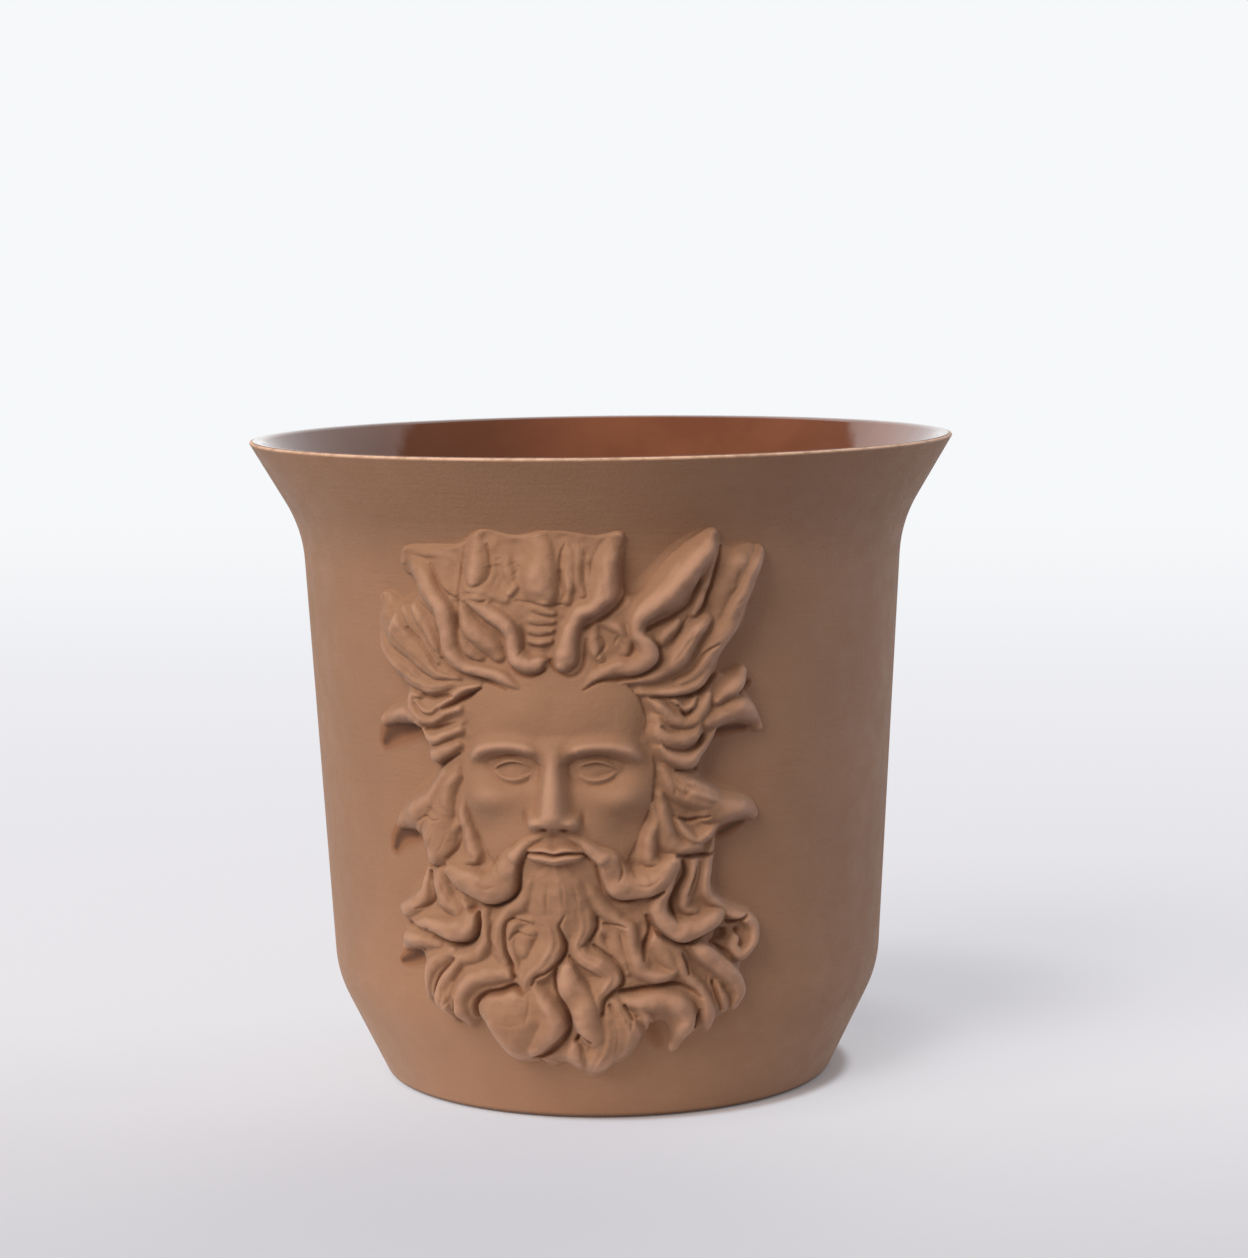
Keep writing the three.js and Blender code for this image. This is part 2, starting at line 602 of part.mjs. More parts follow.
function trimmed(solid) {
  const neighbours = placed.filter((other) => boxesMeet(solid, other));
  return largestBody(neighbours.reduce((rest, other) => rest.subtract(other), solid.subtract(seat)));
}

for (const [name, route] of Object.entries(strands)) {
  mask.add(pieceOf(name, geometryFrom(trimmed(strandSolid(route, 0))), clay()));
  placed.push(strandSolid(route, strandGap));
}
mask.add(pieceOf("face_pad", geometryFrom(trimmed(facePadSolid())), clay()));
cup.add(mask);

export default cup;
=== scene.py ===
"""A handle-less coffee cup in matt brown stoneware with a bearded mask on its wall.

The cup and its glaze lining are turned profiles. The mask is modelled as one relief of locks
and a face, laid on the wall, and then parted into pieces: face, crown hair, side locks,
moustache and beard. Sizes are in millimetres until a mesh is finished, then in metres.
"""

import math

import bmesh
import bpy
import numpy as np
from mathutils import Matrix, Vector


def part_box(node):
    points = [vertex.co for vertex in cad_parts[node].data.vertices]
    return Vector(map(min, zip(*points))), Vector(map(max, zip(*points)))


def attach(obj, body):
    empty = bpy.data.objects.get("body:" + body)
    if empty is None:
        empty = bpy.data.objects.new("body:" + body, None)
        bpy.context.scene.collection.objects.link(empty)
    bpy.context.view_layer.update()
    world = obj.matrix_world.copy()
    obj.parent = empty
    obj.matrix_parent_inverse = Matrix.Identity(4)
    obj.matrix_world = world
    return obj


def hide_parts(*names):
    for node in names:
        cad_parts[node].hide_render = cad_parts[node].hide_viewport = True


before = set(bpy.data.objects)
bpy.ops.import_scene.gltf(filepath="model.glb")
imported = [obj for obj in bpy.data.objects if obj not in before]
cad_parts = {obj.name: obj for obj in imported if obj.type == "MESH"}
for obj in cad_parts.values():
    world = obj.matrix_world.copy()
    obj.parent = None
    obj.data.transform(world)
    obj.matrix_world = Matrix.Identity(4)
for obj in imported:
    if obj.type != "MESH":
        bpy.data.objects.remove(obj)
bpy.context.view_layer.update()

MM = 0.001

# Cup sizes
_, cup_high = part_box("cup_body")
cup_height = cup_high[2] / MM
rim_radius = cup_high[0] / MM
foot_radius = 28.7
foot_ring_width = 5.5
foot_recess = 1.2
foot_edge = 0.9
heel_height = 13.5
heel_radius = 35.25
heel_blend = 3.0
shoulder_radius = 38.5
shoulder_blend = 4.0
flare_height = 11.5
shoulder_height = cup_height - flare_height
wall_thickness = 3.2
floor_thickness = 4.0
inside_blend = 5.0
lip_thickness = 1.5
lip_shoulder = 0.3
glaze_thickness = 0.4
glaze_gap = 0.05
turned_segments = 256

# Mask: arc lengths across the wall and heights above the table
mask_radius = (heel_radius + shoulder_radius) / 2
mask_left = -27.2
mask_right = 28.0
mask_bottom = 5.0
mask_top = 77.0
grid_step = 0.12
across_line = np.arange(mask_left, mask_right, grid_step)
height_line = np.arange(mask_bottom, mask_top, grid_step)
across, height = np.meshgrid(across_line, height_line)
side = np.abs(across)

# Clay under the hair
hair_thickness = 3.2
hair_thickness_at_edge = 1.8
hair_thins_sideways = (8.0, 24.0)
outline_thickness_share = 0.12
gap_floor = -0.5
crown_gap_filled = 0.6
crown_gap_heights = (54.0, 58.0)
crown_edge_share = 0.22
crown_edge_reach = 8.0
bare_wall = -0.15
seen_from = -0.05
sunk_back = 0.7
cast_softness = 0.07
border_softness = 0.2
border_share = 0.35
border_angle = 0.5

# Locks
lock_edge_slope = 1.6
lock_blend = 0.16
lock_reach = 1.8
full_lock = 1.7
broad_lock_share = 0.25
narrowest_route = 0.15
route_step = 0.2
route_margin = 1.0
combs_per_half_width = 1.5
narrowest_comb = 0.5
widest_comb = 1.4
right_half = (5.0, 14.0)
fuller_right = 0.2
smear_across = -0.68
smear_height = 0.73
smear_share = 0.62
smear_lost_right = 0.6

# The hand: how far it wanders from a line, and the dents that it leaves
hand_wander = 0.2
hand_wander_reach = 1.5
hand_dent = 0.09
hand_dent_reach = 0.8
fine_dent = 0.04
fine_dent_reach = 0.35
wander_across_seed = 11
wander_height_seed = 12
hand_dent_seed = 13
fine_dent_seed = 14

# Creases, pits, and the painted shadows under free tips
crease_depth = 2.1
crease_narrowing = 0.5
crease_reach = 3.0
faint_crease_share = 0.25
tool_mark_share = 0.33
pit_depth_share = 2.0
crown_heights = (53.0, 57.0)
crown_softening = 0.28
crown_middle_softening = 0.12
right_crown = (4.0, 8.0)
left_side = (9.0, 12.0)
above_beard = (24.0, 28.0)
left_side_softening = 0.22
face_crease_share = 0.8
shadow_skin_height = 0.05
shadow_fades = (0.05, 1.35)
skin_fades = (0.9, 1.8)

# Tool marks
tool_seed = 21
tool_heading_spread = 22.0
tool_half_lengths = (0.4, 1.1)
tool_half_widths = (0.22, 0.38)
tool_end_half_width = 0.15

# Clay smoothed down onto the wall round the mask
skirt_left = 0.3
skirt_reach = 0.9
skirt_share = 0.36
skirt_drop = -0.1

# How each kind of lock is rounded: steepness of its sides, height for its half width, combed depth
lock_kinds = {
    "rolled": (0.6, 0.75, 0.0),
    "soft": (0.9, 0.55, 0.0),
    "combed": (0.8, 0.5, 0.1),
    "flat": (1.0, 0.2, 0.0),
}

# Face, on the usual canon: thirds from hairline to brow, nose base and chin, five eyes across
hairline = 56.5
chin = 29.5
face_width = 22.0
face_third = (hairline - chin) / 3
brow_line = hairline - face_third
nose_base = brow_line - face_third
mouth_line = nose_base - face_third / 3
eye_line = (hairline + face_third / 2 + chin) / 2
eye_width = face_width / 5


# Turned profiles, as lists of (radius, height) points


def rounded_corner(before, corner, after, blend, steps):
    """A corner of a profile as a curve that starts and ends `blend` away from it."""
    before, corner, after = Vector(before), Vector(corner), Vector(after)
    start = corner + (before - corner).normalized() * blend
    end = corner + (after - corner).normalized() * blend
    points = []
    for step in range(steps + 1):
        share = step / steps
        points.append(start.lerp(corner, share).lerp(corner.lerp(end, share), share))
    return [tuple(point) for point in points]


def from_rim(inward, down):
    """A point near the lip, measured in from the rim and down from the top."""
    return (rim_radius - inward, cup_height - down)


foot = (foot_radius, 0.0)
foot_ring_inside = (foot_radius - foot_ring_width, 0.0)
heel = (heel_radius, heel_height)
shoulder = (shoulder_radius, shoulder_height)

outer_profile = (
    rounded_corner(foot_ring_inside, foot, heel, foot_edge, steps=6)
    + rounded_corner(foot, heel, shoulder, heel_blend, steps=10)
    + rounded_corner(heel, shoulder, from_rim(0.0, 0.0), shoulder_blend, steps=12)
    + [from_rim(0.12, 0.5), from_rim(0.0, 0.3)]
)


def inner_profile(inset):
    """The inside, from the middle of the floor up to the mouth, one wall thickness in."""
    floor_height = floor_thickness + inset
    wall_inset = wall_thickness + inset
    middle = (0.0, floor_height)
    floor_edge = (foot_radius - wall_inset / 2, floor_height)
    inner_heel = (heel_radius - wall_inset, heel_height)
    throat = (shoulder_radius - wall_inset, shoulder_height)
    mouth = from_rim(lip_thickness + inset, lip_thickness / 4)
    return (
        [middle]
        + rounded_corner(middle, floor_edge, inner_heel, inside_blend, steps=8)
        + rounded_corner(floor_edge, inner_heel, throat, inside_blend, steps=8)
        + rounded_corner(inner_heel, throat, mouth, shoulder_blend, steps=10)
        + [mouth]
    )


def outer_radius(at_height):
    radii = [point[0] for point in outer_profile]
    heights = [point[1] for point in outer_profile]
    return np.interp(at_height, heights, radii)


# Pieces


def as_piece(name, mesh, material, nodes):
    piece = bpy.data.objects.new(name, mesh)
    bpy.context.collection.objects.link(piece)
    mesh.materials.append(material)
    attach(piece, "root")
    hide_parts(*nodes)
    return piece


def finished_mesh(name, work, sharp_from=math.pi):
    """The mesh of a bmesh, facing outward and smooth but for edges of at least that angle."""
    bmesh.ops.recalc_face_normals(work, faces=work.faces[:])
    for face in work.faces:
        face.smooth = True
    for edge in work.edges:
        edge.smooth = edge.calc_face_angle(0.0) < sharp_from
    mesh = bpy.data.meshes.new(name)
    work.to_mesh(mesh)
    work.free()
    return mesh


def turned_mesh(name, profile):
    """Spins a profile round the cup's axis and returns the closed mesh in metres."""
    work = bmesh.new()
    line = [work.verts.new((radius * MM, 0.0, level * MM)) for radius, level in profile]
    edges = [work.edges.new(pair) for pair in zip(line, line[1:])]
    bmesh.ops.spin(
        work,
        geom=line + edges,
        cent=(0.0, 0.0, 0.0),
        axis=(0.0, 0.0, 1.0),
        angle=2 * math.pi,
        steps=turned_segments,
        use_merge=True,
    )
    bmesh.ops.remove_doubles(work, verts=work.verts[:], dist=1e-6)
    return finished_mesh(name, work)


# Fields of the relief, in millimetres above the wall


def eased(value, start, end):
    share = np.clip((value - start) / (end - start), 0.0, 1.0)
    return share * share * (3.0 - 2.0 * share)


def mound(x, y, width, tall):
    return np.exp(-((x / width) ** 2) - (y / tall) ** 2)


def joined(first, second, blend):
    """The higher of two fields, with their meeting line rounded by `blend`."""
    return 0.5 * (first + second + np.sqrt((first - second) ** 2 + blend**2))


def softened(field, reach):
    """The field blurred by a bell of that reach."""
    rows = np.fft.fftfreq(field.shape[0], grid_step)[:, None]
    columns = np.fft.rfftfreq(field.shape[1], grid_step)[None, :]
    keep = np.exp(-2.0 * (math.pi * reach) ** 2 * (rows**2 + columns**2))
    return np.fft.irfft2(np.fft.rfft2(field) * keep, field.shape)


def smooth_route(stations):
    """A Catmull-Rom line through (across, height, half width) stations, closely stepped."""
    points = np.array(stations, dtype=float)
    line = np.vstack([2 * points[0] - points[1], points, 2 * points[-1] - points[-2]])
    pieces = []
    for a, b, c, d in zip(line, line[1:], line[2:], line[3:]):
        steps = max(2, int(math.hypot(*(c - b)[:2]) / route_step))
        t = np.linspace(0.0, 1.0, steps, endpoint=False)[:, None]
        curve = 2 * b + (c - a) * t + (2 * a - 5 * b + 4 * c - d) * t**2
        pieces.append(0.5 * (curve + (3 * b - a - 3 * c + d) * t**3))
    pieces.append(points[-1:])
    route = np.vstack(pieces)
    route[:, 2] = np.maximum(route[:, 2], narrowest_route)
    return route


def window_round(route, reach):
    rows = np.searchsorted(height_line, [route[:, 1].min() - reach, route[:, 1].max() + reach])
    columns = np.searchsorted(across_line, [route[:, 0].min() - reach, route[:, 0].max() + reach])
    return slice(*rows), slice(*columns)


def uneven(reach, seed):
    """A smooth random field with features of about that reach and a spread of one."""
    field = softened(np.random.default_rng(seed).standard_normal(across.shape), reach)
    return field / field.std()


# A hand never lays a lock quite along its line.
hand_across = across + hand_wander * uneven(hand_wander_reach, wander_across_seed)
hand_height = height + hand_wander * uneven(hand_wander_reach, wander_height_seed)


def along_route(stations, reach):
    """For the points round a route: window, distance in half widths, half width, side and smear.

    The smear is how far a point lies, in half widths, towards the upper left of the route.
    """
    route = smooth_route(stations)
    window = window_round(route, reach * route[:, 2].max() + route_margin)
    off_across = hand_across[window][..., None] - route[:, 0]
    off_height = hand_height[window][..., None] - route[:, 1]
    share = np.hypot(off_across, off_height) / route[:, 2]
    nearest = share.argmin(axis=-1)
    pick = nearest[..., None]
    tangent = np.gradient(route[:, :2], axis=0)
    tangent /= np.linalg.norm(tangent, axis=1)[:, None]
    near_across = np.take_along_axis(off_across, pick, -1)[..., 0]
    near_height = np.take_along_axis(off_height, pick, -1)[..., 0]
    half_width = route[:, 2][nearest]
    sideways = near_height * tangent[nearest, 0] - near_across * tangent[nearest, 1]
    smear = (near_across * smear_across + near_height * smear_height) / half_width
    return window, share.min(axis=-1), half_width, sideways, smear


def lock_field(stations, kind, lift):
    """Where a lock lies, and how far it stands above the hair that it lies on."""
    steepness, roundness, comb_depth = lock_kinds[kind]
    window, share, half_width, sideways, smear = along_route(stations, lock_reach)
    on_right = eased(across[window], *right_half)
    fullness = half_width / half_width.max()
    body = np.clip(1.0 - share**2, 0.0, 1.0) ** steepness
    broad = np.clip(half_width - full_lock, 0.0, None)
    full = np.minimum(half_width, full_lock) + broad_lock_share * broad
    rise = (lift * fullness + roundness * full) * body
    comb_turns = combs_per_half_width * sideways / np.clip(half_width, narrowest_comb, None)
    stripe = 0.5 - 0.5 * np.cos(2 * math.pi * comb_turns)
    rise -= comb_depth * np.clip(half_width, 0.0, widest_comb) * stripe * body
    rise *= 1.0 + fuller_right * on_right
    smeared_here = smear_share * (1.0 - smear_lost_right * on_right)
    slope = lock_edge_slope * (1.0 - smeared_here * eased(smear, 0.0, 1.0))
    outside = slope * half_width * np.clip(share - 1.0, 0.0, None)
    return window, rise - outside


def crease_field(stations):
    """How deep a tooled crease cuts, along a route given like that of a lock."""
    window, share, half_width, _, _ = along_route(stations, crease_reach)
    return window, crease_depth * half_width * np.exp(-((share / crease_narrowing) ** 2))


# Locks: group, kind, lift above the hair, and (across, height, half width) stations

locks = {
    # Crown
    "plume": ("crown", "soft", 0.45, [
        (-1.4, 65.6, 1.2), (-1.4, 66.8, 1.75), (-1.5, 69.0, 1.95), (-1.6, 71.4, 1.8), (-1.8, 73.4, 1.5),
        (-1.9, 75.0, 1.2)]),
    "crown_band": ("crown", "flat", -0.2, [
        (-18.6, 69.2, 1.2), (-15.5, 70.6, 1.9), (-11.5, 71.4, 2.3), (-7.0, 71.8, 2.6),
        (-2.0, 72.2, 2.6), (3.0, 71.6, 2.6), (6.5, 71.4, 1.8)]),
    "forelock_left": ("crown", "rolled", 0.7, [
        (-8.9, 65.1, 0.35), (-6.8, 64.5, 0.8), (-4.9, 63.2, 1.05), (-4.1, 61.5, 1.05),
        (-4.0, 59.9, 1.1), (-3.5, 58.6, 1.3), (-2.5, 57.9, 1.35), (-1.7, 58.2, 1.1)]),
    "forelock_right": ("crown", "rolled", 0.7, [
        (0.9, 58.0, 1.1), (1.3, 59.0, 1.4), (1.5, 60.6, 1.2), (1.7, 62.4, 1.1), (2.5, 64.0, 1.1),
        (4.2, 64.8, 1.0), (5.4, 66.0, 1.1)]),
    "forelock_right_horn": ("crown", "soft", 0.7, [
        (4.0, 64.6, 0.9), (5.3, 66.0, 1.4), (5.9, 68.0, 1.6), (6.4, 70.3, 1.4), (7.1, 72.6, 1.0),
        (7.8, 74.6, 0.4)]),
    "crown_lock_left": ("crown", "rolled", 0.6, [
        (-4.0, 55.3, 0.45), (-5.7, 56.5, 0.75), (-7.9, 57.2, 0.85), (-9.8, 58.0, 1.05),
        (-10.9, 59.6, 1.1), (-11.3, 61.8, 1.15), (-12.1, 63.8, 1.2), (-13.4, 65.5, 1.0),
        (-14.6, 66.9, 0.5)]),
    "crown_rim_left": ("crown", "rolled", 0.3, [
        (-18.6, 69.4, 0.5), (-18.0, 70.6, 0.65), (-16.2, 70.9, 0.7), (-13.8, 70.8, 0.7),
        (-11.8, 70.4, 0.65), (-10.8, 69.4, 0.5), (-10.6, 67.4, 0.4), (-10.5, 65.8, 0.3)]),
    "crown_leaf_left_top": ("crown", "soft", 0.4, [
        (-12.1, 63.8, 1.0), (-13.5, 65.6, 1.4), (-15.1, 67.3, 1.5), (-16.5, 68.8, 1.35),
        (-17.6, 70.2, 0.9)]),
    "crown_leaf_left_back": ("crown", "soft", -0.3, [
        (-10.9, 65.6, 0.6), (-11.9, 67.6, 1.5), (-12.6, 69.8, 2.2), (-13.2, 72.0, 2.4),
        (-13.4, 74.0, 2.2)]),
    "crown_lobe_left": ("crown", "soft", 0.15, [
        (-8.4, 67.6, 0.8), (-8.3, 68.9, 1.25), (-8.5, 70.6, 1.3), (-8.7, 72.2, 1.1),
        (-8.4, 73.6, 0.7)]),
    "crown_fold_left": ("crown", "soft", 0.1, [
        (-7.2, 72.9, 0.3), (-6.3, 72.2, 0.5), (-5.4, 71.2, 0.5), (-4.8, 70.2, 0.3)]),
    "crown_ledge_left": ("crown", "soft", 0.0, [
        (-9.0, 66.4, 0.3), (-7.6, 66.3, 0.45), (-6.0, 66.0, 0.5), (-4.6, 65.6, 0.4)]),
    "crown_knot_left": ("crown", "soft", 0.2, [
        (-9.6, 65.3, 0.3), (-8.2, 65.7, 0.5), (-6.8, 65.4, 0.4)]),
    "brow_strand_left": ("crown", "soft", 0.35, [
        (-9.7, 64.2, 0.6), (-8.7, 62.6, 1.3), (-7.2, 60.9, 1.3), (-6.0, 58.9, 0.8)]),
    "brow_strand_left_inner": ("crown", "soft", 0.25, [
        (-9.9, 61.4, 0.8), (-9.3, 60.0, 1.1), (-8.1, 58.8, 0.7)]),
    "crown_leaf_left": ("crown", "combed", 0.2, [
        (-10.7, 55.7, 0.35), (-13.2, 56.2, 0.7), (-15.4, 57.5, 1.2), (-17.5, 59.2, 1.7),
        (-19.6, 61.2, 2.0), (-21.3, 63.6, 1.8), (-22.2, 65.8, 1.3), (-22.4, 67.4, 0.7)]),
    "crown_leaf_left_low": ("crown", "combed", 0.15, [
        (-10.6, 54.9, 0.35), (-13.4, 54.5, 0.7), (-16.3, 55.0, 1.1), (-18.9, 56.4, 1.5),
        (-21.1, 58.5, 1.5), (-22.7, 60.8, 1.0), (-23.3, 62.4, 0.5)]),
    "crown_spindle_left": ("crown", "soft", 0.1, [
        (-12.7, 58.4, 0.35), (-13.6, 60.0, 0.75), (-14.5, 61.8, 0.8), (-15.8, 63.4, 0.7),
        (-17.0, 64.6, 0.4)]),
    "crown_strand_left": ("crown", "soft", 0.0, [
        (-13.2, 57.4, 0.35), (-14.6, 59.0, 0.65), (-15.7, 61.0, 0.7), (-17.2, 62.7, 0.7),
        (-18.6, 64.2, 0.4)]),
    "plume_strand_left": ("crown", "soft", 0.0, [
        (-4.4, 67.4, 0.4), (-4.8, 68.8, 0.6), (-5.0, 70.6, 0.6), (-5.2, 72.4, 0.4)]),
    "plume_knob_left": ("crown", "soft", 0.25, [(-4.3, 66.3, 0.55), (-3.9, 66.9, 0.5)]),
    "plume_strand_right": ("crown", "soft", 0.0, [
        (1.2, 65.6, 0.5), (1.7, 68.0, 0.75), (1.9, 70.5, 0.7), (1.7, 72.8, 0.4)]),
    "plume_strand_mid_right": ("crown", "soft", 0.05, [
        (3.1, 66.2, 0.4), (2.9, 68.3, 0.6), (3.2, 70.6, 0.7), (3.6, 72.6, 0.4)]),
    "plume_strand_far_right": ("crown", "soft", 0.0, [
        (4.3, 66.6, 0.4), (4.2, 68.8, 0.6), (4.8, 71.0, 0.6), (5.6, 73.0, 0.35)]),
    "crown_lock_right": ("crown", "rolled", 0.6, [
        (2.9, 55.4, 0.4), (4.4, 56.8, 0.7), (6.4, 57.4, 0.8), (8.6, 57.5, 0.95), (10.1, 58.7, 1.2),
        (10.0, 60.2, 1.15), (9.0, 61.6, 0.95), (9.0, 63.1, 1.0), (10.3, 64.8, 1.2), (12.0, 66.4, 1.2)]),
    "crown_leaf_right_top": ("crown", "soft", 0.6, [
        (9.2, 63.6, 0.8), (10.8, 65.2, 1.5), (12.8, 66.8, 2.0), (14.8, 69.0, 1.9), (16.6, 71.4, 1.4),
        (18.2, 73.8, 0.4)]),
    "crown_strand_right": ("crown", "soft", 0.1, [
        (11.3, 60.2, 0.45), (12.1, 61.6, 0.8), (13.2, 63.0, 0.5)]),
    "crown_strand_right_high": ("crown", "soft", 0.1, [
        (15.2, 63.8, 0.4), (16.3, 65.6, 0.6), (16.8, 67.8, 0.6), (17.6, 70.6, 0.45),
        (18.4, 72.4, 0.3)]),
    "crown_lock_right_inner": ("crown", "soft", 0.3, [
        (7.4, 56.0, 0.35), (10.4, 56.4, 0.7), (12.4, 57.6, 1.0), (13.7, 59.3, 1.2), (15.1, 61.1, 1.2),
        (16.7, 62.8, 0.8)]),
    "crown_ridge_right": ("crown", "rolled", 0.45, [
        (17.0, 59.4, 0.4), (18.5, 61.4, 0.7), (19.8, 63.6, 0.95), (21.0, 66.0, 0.95),
        (22.4, 68.4, 0.85), (23.8, 70.8, 0.4)]),
    "crown_leaf_right": ("crown", "soft", 0.1, [
        (13.6, 55.5, 0.5), (15.8, 57.0, 1.1), (17.9, 59.3, 1.6), (19.7, 62.1, 1.8), (21.1, 65.2, 1.7),
        (22.6, 68.4, 1.6), (23.8, 70.8, 0.8)]),
    "crown_leaf_right_back": ("crown", "soft", -0.2, [
        (18.0, 62.2, 0.5), (18.8, 64.8, 1.1), (19.9, 67.4, 1.4), (21.0, 69.4, 1.4), (22.0, 70.8, 0.9)]),
    "crown_leaf_right_low": ("crown", "soft", 0.15, [
        (9.3, 54.6, 0.35), (11.5, 54.3, 0.6), (13.8, 54.5, 0.75), (15.7, 55.6, 0.8), (17.2, 57.2, 0.7),
        (18.6, 58.5, 0.4)]),
    "brow_strand_right": ("crown", "soft", 0.0, [
        (4.2, 62.6, 0.4), (4.2, 61.0, 0.6), (4.6, 59.4, 0.5), (5.2, 58.4, 0.3)]),
    "brow_strand_right_outer": ("crown", "soft", 0.0, [
        (5.4, 62.6, 0.5), (6.4, 62.4, 0.7), (7.4, 61.8, 0.7), (8.0, 60.4, 0.6), (7.9, 59.0, 0.5)]),
    # Left side
    "temple_strand_left": ("side_left", "soft", 0.3, [
        (-8.3, 55.2, 0.3), (-10.2, 54.4, 0.45), (-11.8, 53.2, 0.5), (-13.4, 52.4, 0.35)]),
    "temple_loop_left": ("side_left", "soft", 0.3, [
        (-10.9, 52.3, 0.35), (-12.8, 51.8, 0.5), (-14.6, 50.8, 0.6), (-16.3, 50.8, 0.7),
        (-17.6, 51.8, 0.7), (-17.5, 53.1, 0.55), (-16.4, 53.4, 0.45)]),
    "temple_loop_left_inner": ("side_left", "soft", 0.35, [
        (-16.9, 52.6, 0.3), (-15.9, 51.9, 0.4), (-14.8, 51.8, 0.4), (-13.6, 52.5, 0.3)]),
    "temple_leaf_left": ("side_left", "soft", 0.25, [
        (-16.6, 50.2, 0.8), (-18.8, 50.8, 1.1), (-21.0, 50.7, 1.1), (-23.0, 49.9, 0.9),
        (-24.2, 48.7, 0.5)]),
    "temple_curl_left_middle": ("side_left", "soft", 0.3, [
        (-10.9, 49.8, 0.5), (-12.3, 49.0, 0.75), (-14.0, 48.2, 0.85), (-15.5, 48.4, 0.65),
        (-16.0, 49.2, 0.4)]),
    "temple_curl_left_low": ("side_left", "soft", 0.35, [
        (-11.3, 47.8, 0.5), (-12.7, 47.0, 0.85), (-14.3, 46.3, 1.0), (-15.7, 46.4, 0.75),
        (-16.3, 47.2, 0.4)]),
    "cheek_lock_left": ("side_left", "soft", 0.0, [
        (-11.6, 43.6, 0.6), (-13.0, 41.8, 1.2), (-13.8, 39.8, 1.6), (-14.0, 38.4, 1.4)]),
    "cheek_wave_left": ("side_left", "soft", 0.1, [
        (-17.6, 37.2, 0.4), (-16.8, 38.2, 0.55), (-15.6, 38.2, 0.6), (-14.4, 37.2, 0.6),
        (-13.0, 36.8, 0.5), (-11.8, 37.6, 0.4)]),
    "cheek_curl_left": ("side_left", "soft", 0.1, [
        (-14.2, 39.4, 1.0), (-14.5, 37.8, 2.1), (-14.8, 36.2, 2.5), (-15.1, 34.8, 1.8)]),
    "cheek_leaf_left": ("side_left", "soft", -0.4, [
        (-13.4, 43.4, 0.8), (-15.3, 41.6, 1.6), (-17.4, 39.9, 1.9), (-19.8, 38.5, 1.6),
        (-21.9, 37.4, 1.1), (-23.4, 36.2, 0.6)]),
    "jaw_strand_left": ("side_left", "soft", 0.1, [
        (-16.6, 32.6, 0.5), (-16.9, 30.6, 0.7), (-17.4, 28.9, 0.9), (-19.0, 27.5, 1.1),
        (-21.0, 26.6, 1.1), (-22.9, 25.9, 0.8)]),
    "jaw_lock_left": ("side_left", "soft", 0.05, [
        (-14.2, 32.6, 0.7), (-14.2, 30.4, 1.1), (-13.6, 28.3, 1.3), (-12.2, 27.2, 1.1)]),
    "jaw_curl_left": ("side_left", "rolled", 0.5, [
        (-18.8, 25.3, 0.4), (-17.2, 25.3, 0.9), (-15.2, 25.1, 1.25), (-13.0, 24.8, 1.4),
        (-11.0, 25.6, 1.2), (-10.3, 27.2, 0.8), (-10.9, 28.4, 0.5)]),
    "jaw_leaf_left": ("side_left", "soft", 0.15, [
        (-15.4, 22.6, 0.5), (-17.2, 22.9, 0.9), (-19.4, 22.9, 1.2), (-21.6, 22.3, 1.1),
        (-23.0, 21.2, 0.6)]),
    # Right side
    "temple_curl_right_top": ("side_right", "soft", 0.2, [
        (10.2, 53.6, 0.4), (11.2, 52.4, 0.7), (12.6, 51.0, 0.8), (14.4, 50.6, 0.8), (15.8, 51.8, 0.8),
        (16.7, 53.6, 0.5)]),
    "temple_curl_right_inner": ("side_right", "soft", 0.2, [
        (12.9, 53.2, 0.35), (13.8, 52.2, 0.45), (14.8, 52.6, 0.4), (15.3, 53.6, 0.3)]),
    "temple_curl_right_middle": ("side_right", "soft", 0.25, [
        (10.7, 51.2, 0.65), (11.3, 49.7, 1.05), (12.6, 48.7, 1.2), (14.2, 48.6, 1.15),
        (15.3, 49.5, 0.75), (15.7, 50.6, 0.45)]),
    "temple_curl_right_low": ("side_right", "soft", 0.35, [
        (11.8, 47.7, 0.5), (13.0, 46.6, 0.9), (14.8, 46.2, 1.0), (16.4, 47.0, 0.85), (17.4, 48.5, 0.65),
        (17.9, 49.8, 0.35)]),
    "temple_leaf_right_top": ("side_right", "soft", 0.4, [
        (17.8, 53.0, 0.6), (19.6, 54.2, 1.0), (21.2, 55.4, 1.0), (22.4, 57.0, 0.5)]),
    "temple_leaf_right": ("side_right", "soft", 0.15, [
        (16.8, 50.8, 0.8), (18.8, 51.3, 1.3), (21.0, 51.7, 1.5), (23.0, 50.4, 1.1), (24.8, 48.2, 0.6)]),
    "cheek_sweep_right": ("side_right", "combed", 0.0, [
        (11.9, 45.0, 0.5), (13.1, 43.3, 1.2), (14.8, 42.0, 1.7), (16.6, 41.2, 1.7), (18.4, 40.6, 1.1)]),
    "cheek_lock_right": ("side_right", "soft", 0.1, [
        (11.4, 42.0, 0.6), (11.6, 40.0, 1.0), (11.8, 38.0, 1.1), (12.6, 36.2, 1.0), (14.0, 35.2, 0.9),
        (15.4, 35.4, 0.7)]),
    "cheek_curl_right": ("side_right", "soft", 0.2, [
        (13.4, 38.6, 0.4), (14.2, 37.2, 0.6), (15.4, 36.2, 0.7), (16.4, 36.8, 0.7), (17.6, 38.0, 0.5),
        (18.6, 38.6, 0.35)]),
    "cheek_leaf_right": ("side_right", "soft", 0.05, [
        (16.8, 39.4, 0.9), (18.8, 39.7, 1.6), (20.9, 39.6, 1.7), (22.8, 38.9, 1.2), (24.6, 37.7, 0.5)]),
    "jaw_lock_right": ("side_right", "soft", 0.1, [
        (17.6, 36.0, 0.4), (17.6, 34.2, 0.7), (17.4, 32.2, 0.95), (17.1, 30.4, 0.85), (17.8, 29.0, 0.7),
